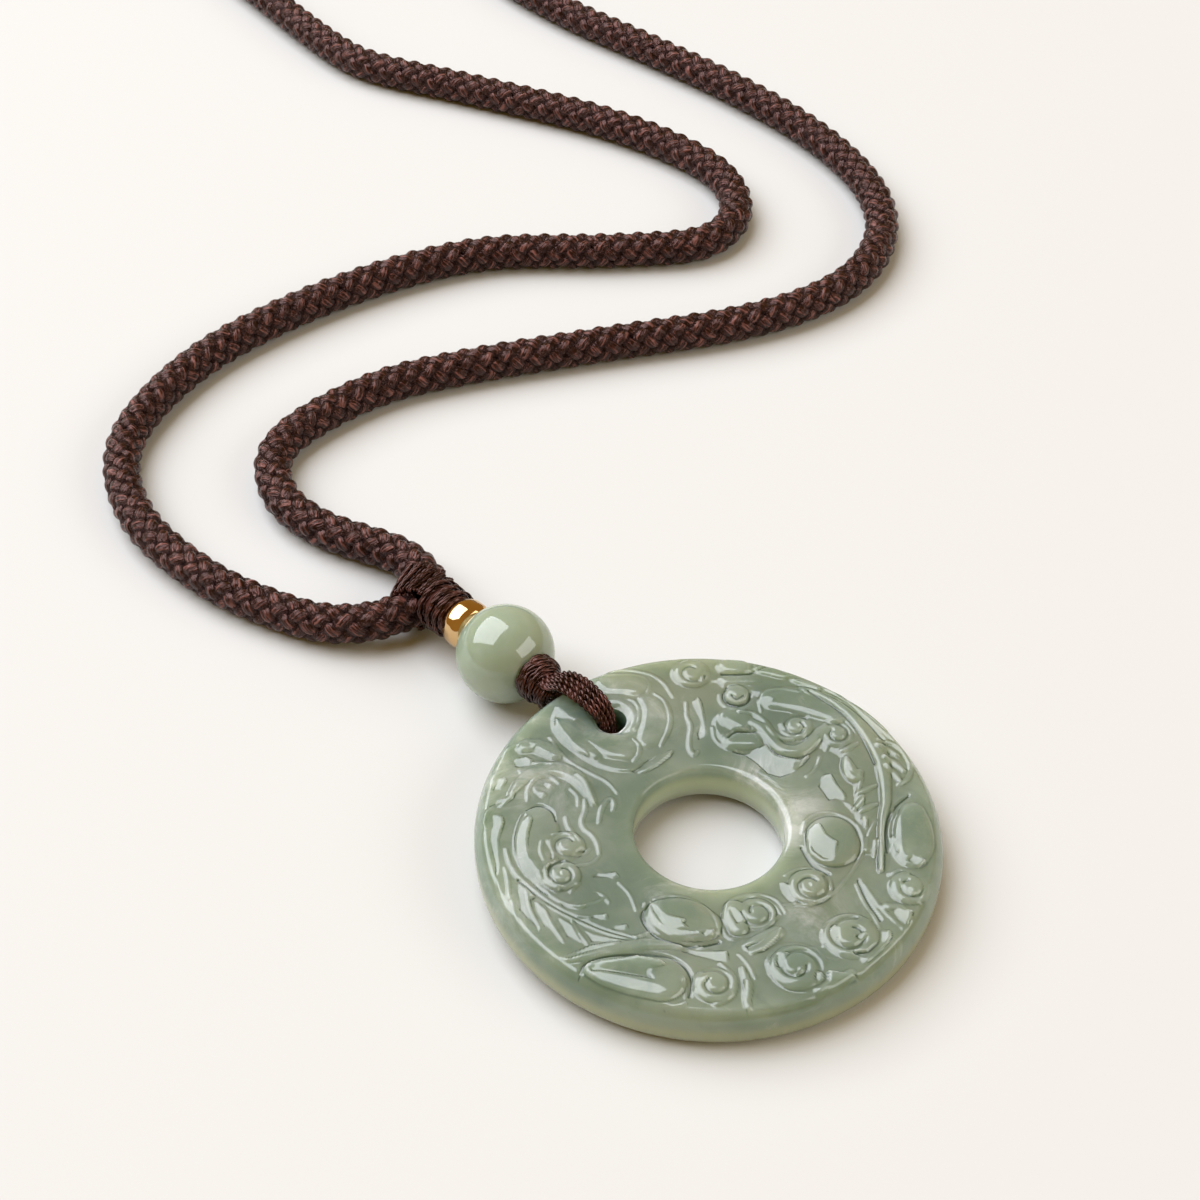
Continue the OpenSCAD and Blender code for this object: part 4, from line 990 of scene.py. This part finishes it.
# Turns: radius, distance along the stem, how far the ring is tipped and towards which side, and
# for those at the disc how far it sits below the stem.
LOWER_TURNS = [
    (0.45, -1.0, 0, 0, 0.75), (0.85, -1.0, 0.1, 0.4, 0.75), (1.27, -0.98, 0.1, 0.4, 0.75),
    (1.7, -0.95, 0.1, 0.4, 0.75), (1.8, -0.6, 0.15, 0.4, 0.6), (1.9, -0.25, 0.2, 0.5, 0.35),
    (1.85, 0.05, 0.25, 0.6), (2.0, 0.3, 0.3, 0.8), (2.2, 0.62, 0.32, 0.9), (2.1, 0.95, 0.34, 1.1),
    (2.42, 1.12, 0.34, 1.2), (2.52, 1.5, 0.3, 1.4), (2.42, 1.84, 0.2, 1.6), (2.2, 2.05, 0.05, 2),
    (2.5, 1.3, 0.85, 3.9), (2.48, 1.0, 0.75, 2.6), (2.3, 0.7, 0.6, 5.2)]
lower_tubes = []
for r, z, tip, turn, *below in LOWER_TURNS:
    line = ring_line(lower_place, r, z, tip, turn, sum(below))
    lower_tubes += twisted(line, axis_of(lower_place), LOWER_THREAD_D * MM, LOWER_LAY * MM, r * 9)
lower = tube_piece("lower_winding", lower_tubes, 6, uv_length=14)
lower_core = core("lower_core", lower_place, LOWER_CORE_R, LOWER_L)
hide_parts("lower_whipping")

# A rib's threads lie over so much of its width, and each is up to so many mm lower than its place.
RIB_FILL, RIB_STRAY = 0.74, 0.08


def in_rib(k, threads):
    """A thread's distance from its rib's middle, in ribs, and its share of the drop at its sides."""
    share = (k + 0.5) / threads
    return RIB_FILL * (share - 0.5), (2 * share - 1) ** 2


upper_place = line_place(UPPER_S)
RIBS, RIB_THREADS, RIB_THREAD_D, RIB_LAY, RIB_DROP = 3, 4, 0.47, 2.8, 0.85
# The first rib is so much lower than the collar, each further one higher by a step.
RIB_LOW, RIB_STEP, UPPER_CORE_IN = 0.12, 0.05, 0.8
upper_tubes = []
for rib in range(RIBS):
    lean, side = random.uniform(0.1, 0.25) * rib / 2, any_turn()
    for k in range(RIB_THREADS):
        aside, down = in_rib(k, RIB_THREADS)
        z = (rib + 0.5 + aside) * UPPER_L / RIBS
        r = UPPER_D / 2 - RIB_LOW + RIB_STEP * rib - RIB_THREAD_D / 2 - RIB_DROP * down
        r -= RIB_STRAY * random.random()
        line = ring_line(upper_place, r, z, lean + random.uniform(-0.03, 0.03),
                         side + random.uniform(-0.5, 0.5))
        upper_tubes += twisted(line, axis_of(upper_place), RIB_THREAD_D * MM, RIB_LAY * MM, any_turn())
upper = tube_piece("upper_winding", upper_tubes, 6, uv_length=20)
upper_core = core("upper_core", upper_place, UPPER_D / 2 - UPPER_CORE_IN, UPPER_L)
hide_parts("upper_whipping")

# ---------------------------------------------------------------- bail
bail_mid = np.array(on_line(BAIL_S, BAIL_D / 2))
bail_axis = np.array([*aimed(BAIL_TURN), 0])
bail_away = np.array([-bail_axis[1], bail_axis[0], 0])
upward = np.array([0, 0, 1])
BAIL_RIBS, BAIL_THREADS, BAIL_THREAD_D, BAIL_LAY = 14, 4, 0.45, 2.2
BAIL_IN, BAIL_OUT = 2.55, BAIL_D / 2 - BAIL_THREAD_D / 2
# A rib's sides are so much lower, and narrower by a share of that; its threads run aslant, and the
# bail's section is a squarish ring.
BAIL_DROP, BAIL_NARROW, BAIL_SLANT, BAIL_SQUARE = 0.9, 0.6, 0.27, 0.7
a = np.linspace(0, 2 * math.pi, 61)
ring_w, ring_h = [np.sign(v) * np.abs(v) ** BAIL_SQUARE for v in (np.cos(a), np.sin(a))]
bail_tubes = []
for rib in range(BAIL_RIBS):
    for k in range(BAIL_THREADS):
        aside, down = in_rib(k, BAIL_THREADS)
        beta = 2 * math.pi * (rib + 0.5 + aside) / BAIL_RIBS
        drop = BAIL_DROP * down + RIB_STRAY * random.random()
        w = (BAIL_W / 2 - BAIL_THREAD_D / 2 - drop * BAIL_NARROW) * ring_w
        rho = (BAIL_IN + BAIL_OUT) / 2 + ((BAIL_OUT - BAIL_IN) / 2) * ring_h
        rho -= drop * np.maximum(np.sin(a), 0)
        turned = (beta + BAIL_SLANT * w / BAIL_OUT)[:, None]
        out = np.cos(turned) * bail_away + np.sin(turned) * upward
        line = bail_mid + MM * (rho[:, None] * out + w[:, None] * bail_axis)
        line[-1] = line[0]
        tangent = -math.sin(beta) * bail_away + math.cos(beta) * upward
        bail_tubes += twisted(line, tangent, BAIL_THREAD_D * MM, BAIL_LAY * MM, any_turn())
bail = tube_piece("bail_winding", bail_tubes, 5, uv_length=14)
bail_place = (Matrix.Translation(bail_mid) @ Matrix.Rotation(BAIL_TURN, 4, "Z")
              @ Matrix.Rotation(math.pi / 2, 4, "Y"))
bail_core = spun("bail_core", [(2.5, -2), (2.66, -2), (2.66, 2), (2.5, 2)], 48, bail_place)


# ---------------------------------------------------------------- materials
def plug(tree, socket, value):
    """Join a socket to another one, or give it a value of its own."""
    if isinstance(value, bpy.types.NodeSocket):
        tree.links.new(value, socket)
    else:
        socket.default_value = value


def node(tree, kind, **values):
    """The outputs of a new node, with its named inputs joined or set."""
    n = tree.nodes.new("ShaderNode" + kind)
    for name, value in values.items():
        plug(tree, n.inputs[name.replace("_", " ")], value)
    return n.outputs


def worked(tree, operation, *given, vectors=False):
    """What a Math node, or one for vectors, makes of sockets and values."""
    n = tree.nodes.new("ShaderNodeVectorMath" if vectors else "ShaderNodeMath")
    n.operation = operation
    for socket, value in zip(n.inputs, given):
        plug(tree, socket, value)
    return n.outputs["Vector" if vectors and operation in ("SUBTRACT", "CROSS_PRODUCT") else "Value"]


def mixed(tree, factor, a, b):
    """Colour a mixed with b by factor."""
    n = tree.nodes.new("ShaderNodeMix")
    n.data_type = "RGBA"
    for number, value in ((0, factor), (6, a), (7, b)):
        plug(tree, n.inputs[number], value)
    return n.outputs[2]


def ramp(tree, source, low, high, to=(0, 1), kind="SMOOTHSTEP"):
    """The source from low to high, made to run between two other values."""
    n = tree.nodes.new("ShaderNodeMapRange")
    n.interpolation_type = kind
    for socket, value in zip(n.inputs, (source, low, high, *to)):
        plug(tree, socket, value)
    return n.outputs[0]


def effect(name, colours, numbers):
    """A node group that puts out Color and Height: itself, what it is given and what it gives."""
    g = bpy.data.node_groups.new(name, "ShaderNodeTree")
    for kind, given in (("NodeSocketColor", colours), ("NodeSocketFloat", numbers)):
        for key, value in given.items():
            g.interface.new_socket(key, in_out="INPUT", socket_type=kind).default_value = value
    for kind, key in (("NodeSocketColor", "Color"), ("NodeSocketFloat", "Height")):
        g.interface.new_socket(key, in_out="OUTPUT", socket_type=kind)
    return g, g.nodes.new("NodeGroupInput").outputs, g.nodes.new("NodeGroupOutput").inputs


# Milky clouds in the disc, and deeper green where the strength is negative: place in hundredths of its
# radius, reach in mm and strength. Some are painted light and shade: the broad pale patch on the left
# and the broad deep one on the right paint the light falling across the disc from the left, and the
# white patches beside the centre hole and in the lower right are partly milky veins and partly a
# painted reflection of the light.
MILK_AND_PAINTED_LIGHT = [
    ((-72, 22), 26, 0.13), ((78, 0), 22, -0.5), ((36, 6), 6, 0.95), ((24, 27), 4, 0.8),
    ((42, -46), 5.5, 0.5), ((-40, 62), 8, 0.25), ((-82, 16), 9, 0.25), ((-76, -48), 8, 0.25),
    ((-66, 30), 7, 0.2), ((-12, -48), 4.2, -1), ((52, -6), 4, -0.8), ((86, -1), 4.5, -1),
    ((-30, -78), 5, -0.8), ((-72, -8), 5, -0.7), ((57, -57), 3.6, -0.7), ((33, -73), 3.6, -0.7)]
WARM_SHARE = 0.45
# Painted glow of light shining through the stone: the paler foot of the disc starts and is whole at
# these heights over its back, in mm, and the hole's wall is painted paler still from so many mm outside
# it.
FOOT_FROM, FOOT_WHOLE, WALL_OUT, WALL_WHOLE, WALL_GLOW_TONE = 3.9, 1.9, 0.5, 0.05, (0.46, 0.54, 0.42, 1)
# Painted shade on what lies low and painted highlight on what stands proud: where each starts and is
# whole on the mark, and its tone.
CREASE_SHADE_AND_RIDGE_LIGHT = ((0.49, 0.3, (0.06, 0.1, 0.075, 1)), (0.56, 0.85, (0.34, 0.4, 0.35, 1)))


def stone_group():
    """Clouded stone: two greens, a warm stain and milky wisps, with painted light and shade: a glowing
    paler foot and wall, darker creases, paler proud places, and broad pale and deep patches.
    """
    g, given, gives = effect("clouded_stone_painted_light", {
        "Light": (0.213, 0.272, 0.221, 1), "Deep": (0.141, 0.2, 0.158, 1),
        "Warm": (0.22, 0.252, 0.167, 1), "Milk": (0.54, 0.58, 0.56, 1), "Painted Foot Glow": (0.332, 0.366, 0.226, 1),
    }, {"Size": 110.0, "Milk Amount": 0.3, "Low Amount": 0.0, "Mark Amount": 0.0})
    where = node(g, "TexCoord")["Object"]

    def noise(**values):
        return node(g, "TexNoise", Vector=where, **values)[0]

    def times(a, b):
        return worked(g, "MULTIPLY", a, b)

    broad = noise(Scale=given["Size"], Detail=3.0, Roughness=0.5)
    patch = noise(Scale=240.0, Detail=5.0, Roughness=0.6, Distortion=0.6)
    stain = noise(Scale=70.0, Detail=2.0)
    wisp = noise(Scale=160.0, Detail=6.0, Roughness=0.7, Distortion=1.2)
    base = mixed(g, ramp(g, broad, 0.38, 0.62), given["Deep"], given["Light"])
    base = mixed(g, ramp(g, patch, 0.5, 0.78), base, given["Deep"])
    base = mixed(g, times(ramp(g, stain, 0.5, 0.72), WARM_SHARE), base, given["Warm"])
    base = mixed(g, times(ramp(g, wisp, 0.55, 0.75), given["Milk Amount"]), base, given["Milk"])
    clouded = ramp(g, wisp, 0.36, 0.64)
    # Milky and deep patches from the table, some of them painted light and painted shade.
    for (cx, cy), reach, amount in MILK_AND_PAINTED_LIGHT:
        middle = disc_place @ Vector((cx * DISC_R / 100 * MM, cy * DISC_R / 100 * MM, DISC_T * MM))
        far = worked(g, "DISTANCE", where, middle, vectors=True)
        near = times(times(ramp(g, far, reach * MM, 0), clouded), abs(amount))
        base = mixed(g, near, base, given["Milk" if amount > 0 else "Deep"])
    # Painted glow: towards the back and in the hole's wall the stone is painted paler and yellower, for
    # light shining through it.
    foot = disc_back.dot(disc_up)
    level = worked(g, "DOT_PRODUCT", where, disc_up, vectors=True)
    low = times(ramp(g, level, foot + FOOT_FROM * MM, foot + FOOT_WHOLE * MM), given["Low Amount"])
    base = mixed(g, low, base, given["Painted Foot Glow"])
    from_back = worked(g, "SUBTRACT", where, disc_back, vectors=True)
    turned = worked(g, "CROSS_PRODUCT", from_back, disc_up, vectors=True)
    away = worked(g, "LENGTH", turned, vectors=True)
    # Painted glow on the hole's wall, stronger towards the back.
    wall = times(ramp(g, away, (BORE_R + WALL_OUT) * MM, (BORE_R + WALL_WHOLE) * MM), low)
    base = mixed(g, wall, base, WALL_GLOW_TONE)
    # The disc's UV tells how far the carving stands over what is near it: its feet get painted shade
    # and what stands proud gets a painted highlight.
    mark = node(g, "SeparateXYZ", Vector=node(g, "TexCoord")["UV"])["X"]
    for start, whole, tone in CREASE_SHADE_AND_RIDGE_LIGHT:
        base = mixed(g, times(ramp(g, mark, start, whole), given["Mark Amount"]), base, tone)
    plug(g, gives["Color"], base)
    plug(g, gives["Height"], noise(Scale=1400.0, Detail=2.0))
    return g


# How slowly the filaments change along a strand, and the painted shade between strands.
FIBRE_STRETCH, GAP_SHADE_TONE = 0.22, (0.002, 0.0008, 0.0006, 1)


def fibre_group():
    """Fine filaments along a strand, with pale streaks painted on them as glints, and painted shade at
    its edges.
    """
    g, given, gives = effect("strand_fibres_painted_glints", {
        "Dark": (0.02, 0.01, 0.008, 1), "Fibre Glint": (0.12, 0.06, 0.05, 1),
    }, {"Filaments": 9.0, "Edge Shade": 0.0})
    where = node(g, "TexCoord")
    along, across, _ = node(g, "SeparateXYZ", Vector=where["UV"])
    spot = node(g, "CombineXYZ", X=worked(g, "MULTIPLY", along, FIBRE_STRETCH),
                Y=worked(g, "MULTIPLY", across, given["Filaments"]))[0]
    streak = node(g, "TexNoise", Vector=spot, Scale=2.2, Detail=3.0, Roughness=0.6)[0]
    tone = node(g, "TexNoise", Vector=where["Object"], Scale=500.0, Detail=2.0)[0]
    # Painted shade towards a strand's edges, where the braid's gaps and low places lie.
    aside = worked(g, "ABSOLUTE", worked(g, "SUBTRACT", worked(g, "FRACT", across), 0.5))
    shade = worked(g, "MULTIPLY", ramp(g, aside, 0.14, 0.44), given["Edge Shade"])
    # Pale streaks painted along the filaments stand in for their glints.
    base = mixed(g, ramp(g, streak, 0.46, 0.68), given["Dark"], given["Fibre Glint"])
    plug(g, gives["Color"], mixed(g, shade, base, GAP_SHADE_TONE))
    plug(g, gives["Height"], worked(g, "ADD", streak, tone))
    return g


def surface(name, group=None, values=None, bump=0.0, distance=0.0001, **shader):
    """A Principled material, whose colour and bump may come from a group."""
    mat = bpy.data.materials.new(name)
    mat.use_nodes = True
    tree = mat.node_tree
    inputs = tree.nodes["Principled BSDF"].inputs
    for key, value in shader.items():
        inputs[key.replace("_", " ")].default_value = value
    if group:
        g = tree.nodes.new("ShaderNodeGroup")
        g.node_tree = group
        for key, value in values.items():
            g.inputs[key].default_value = value
        plug(tree, inputs["Base Color"], g.outputs["Color"])
        normal = node(tree, "Bump", Height=g.outputs["Height"], Strength=bump, Distance=distance)[0]
        plug(tree, inputs["Normal"], normal)
    return mat


stone, fibres = stone_group(), fibre_group()
POLISHED = {"bump": 0.01, "Subsurface_Weight": 1.0, "Subsurface_Radius": (1.2, 1.2, 0.8)}
disc_jade = surface("sage_jade", stone, {"Low Amount": 0.8, "Mark Amount": 1.0}, Roughness=0.04,
                    IOR=1.64, Specular_IOR_Level=0.5, Subsurface_Scale=0.009, **POLISHED)
bead_jade = surface("bead_jade", stone, {
    "Light": (0.325, 0.398, 0.31, 1), "Deep": (0.28, 0.356, 0.272, 1), "Warm": (0.335, 0.38, 0.265, 1),
    "Size": 160.0, "Milk Amount": 0.08,
}, Roughness=0.03, IOR=1.7, Specular_IOR_Level=0.52, Subsurface_Scale=0.004, **POLISHED)
braid_nylon = surface("braided_nylon", fibres, {
    "Dark": (0.012, 0.004, 0.0034, 1), "Fibre Glint": (0.2, 0.084, 0.072, 1), "Filaments": 2.4,
    "Edge Shade": 0.97,
}, bump=1.0, distance=0.0003, Roughness=0.17, IOR=1.5, Specular_IOR_Level=0.5,
    Specular_Tint=(1, 0.6, 0.55, 1))
waxed_thread = surface("waxed_thread", fibres, {
    "Dark": (0.005, 0.0013, 0.001, 1), "Fibre Glint": (0.125, 0.048, 0.04, 1), "Filaments": 1.5,
}, bump=0.4, Roughness=0.13, IOR=1.5, Specular_IOR_Level=0.65, Specular_Tint=(1, 0.6, 0.53, 1))

gold = surface("polished_gold", Metallic=1.0)
tree = gold.node_tree
gold_inputs = tree.nodes["Principled BSDF"].inputs
where = node(tree, "TexCoord")["Object"]
tone = node(tree, "TexNoise", Vector=where, Scale=300.0, Detail=3.0)[0]
gold_tone = mixed(tree, ramp(tree, tone, 0.35, 0.65), (0.62, 0.4, 0.185, 1), (0.7, 0.48, 0.25, 1))
plug(tree, gold_inputs["Base Color"], gold_tone)
plug(tree, gold_inputs["Roughness"], ramp(tree, tone, 0, 1, (0.04, 0.09), "LINEAR"))

threads = [thread_loop, lower, lower_core, upper, upper_core, bail, bail_core]
for mat, pieces in ((disc_jade, [disc]), (bead_jade, [bead]), (gold, [spacer]),
                    (braid_nylon, [neck_braid]), (waxed_thread, threads)):
    for piece in pieces:
        piece.data.materials.clear()
        piece.data.materials.append(mat)

# ---------------------------------------------------------------- floor and light
bm = bmesh.new()
bmesh.ops.create_grid(bm, x_segments=2, y_segments=2, size=4)
floor = as_object("floor", bm, bpy.data.meshes.new("floor"))
floor.data.materials.append(surface("pale_paper", Base_Color=(0.618, 0.644, 0.639, 1), Roughness=0.75,
                                    Specular_IOR_Level=0.2))

world = bpy.data.worlds.new("studio")
bpy.context.scene.world = world
world.use_nodes = True
room = world.node_tree.nodes["Background"].inputs
room["Color"].default_value, room["Strength"].default_value = (1, 0.6, 0.16, 1), 0.38


def soft_box(name, towards, edge, size, distance, radiance, tint=(1, 1, 1)):
    """A rectangle of even light: directions of its middle and of its first edge, and its sides.

    The sides are shares of its distance in metres.
    """
    light = bpy.data.lights.new(name, "AREA")
    light.shape, light.size, light.size_y = "RECTANGLE", size[0] * distance, size[1] * distance
    light.energy = radiance * math.pi * light.size * light.size_y
    light.color = tint
    back = Vector(towards).normalized()
    x = Vector(edge)
    x = (x - x.dot(back) * back).normalized()
    y = back.cross(x)
    box = bpy.data.objects.new(name, light)
    box.matrix_world = Matrix.Translation(back * distance) @ Matrix((x, y, back)).transposed().to_4x4()
    bpy.context.scene.collection.objects.link(box)


soft_box("main_box", (-0.51, 0.285, 0.81), (0.81, -0.864, 1.004), (1.15, 1.15), 2.0, 4.25,
         (0.97, 1, 1.1))
soft_box("side_box", (0.8, -0.27, 0.54), (0.09, -0.082, -0.418), (0.44, 0.88), 2.0, 2.6)

bpy.context.scene.view_settings.view_transform = "Standard"
bpy.context.scene.view_settings.look = "None"
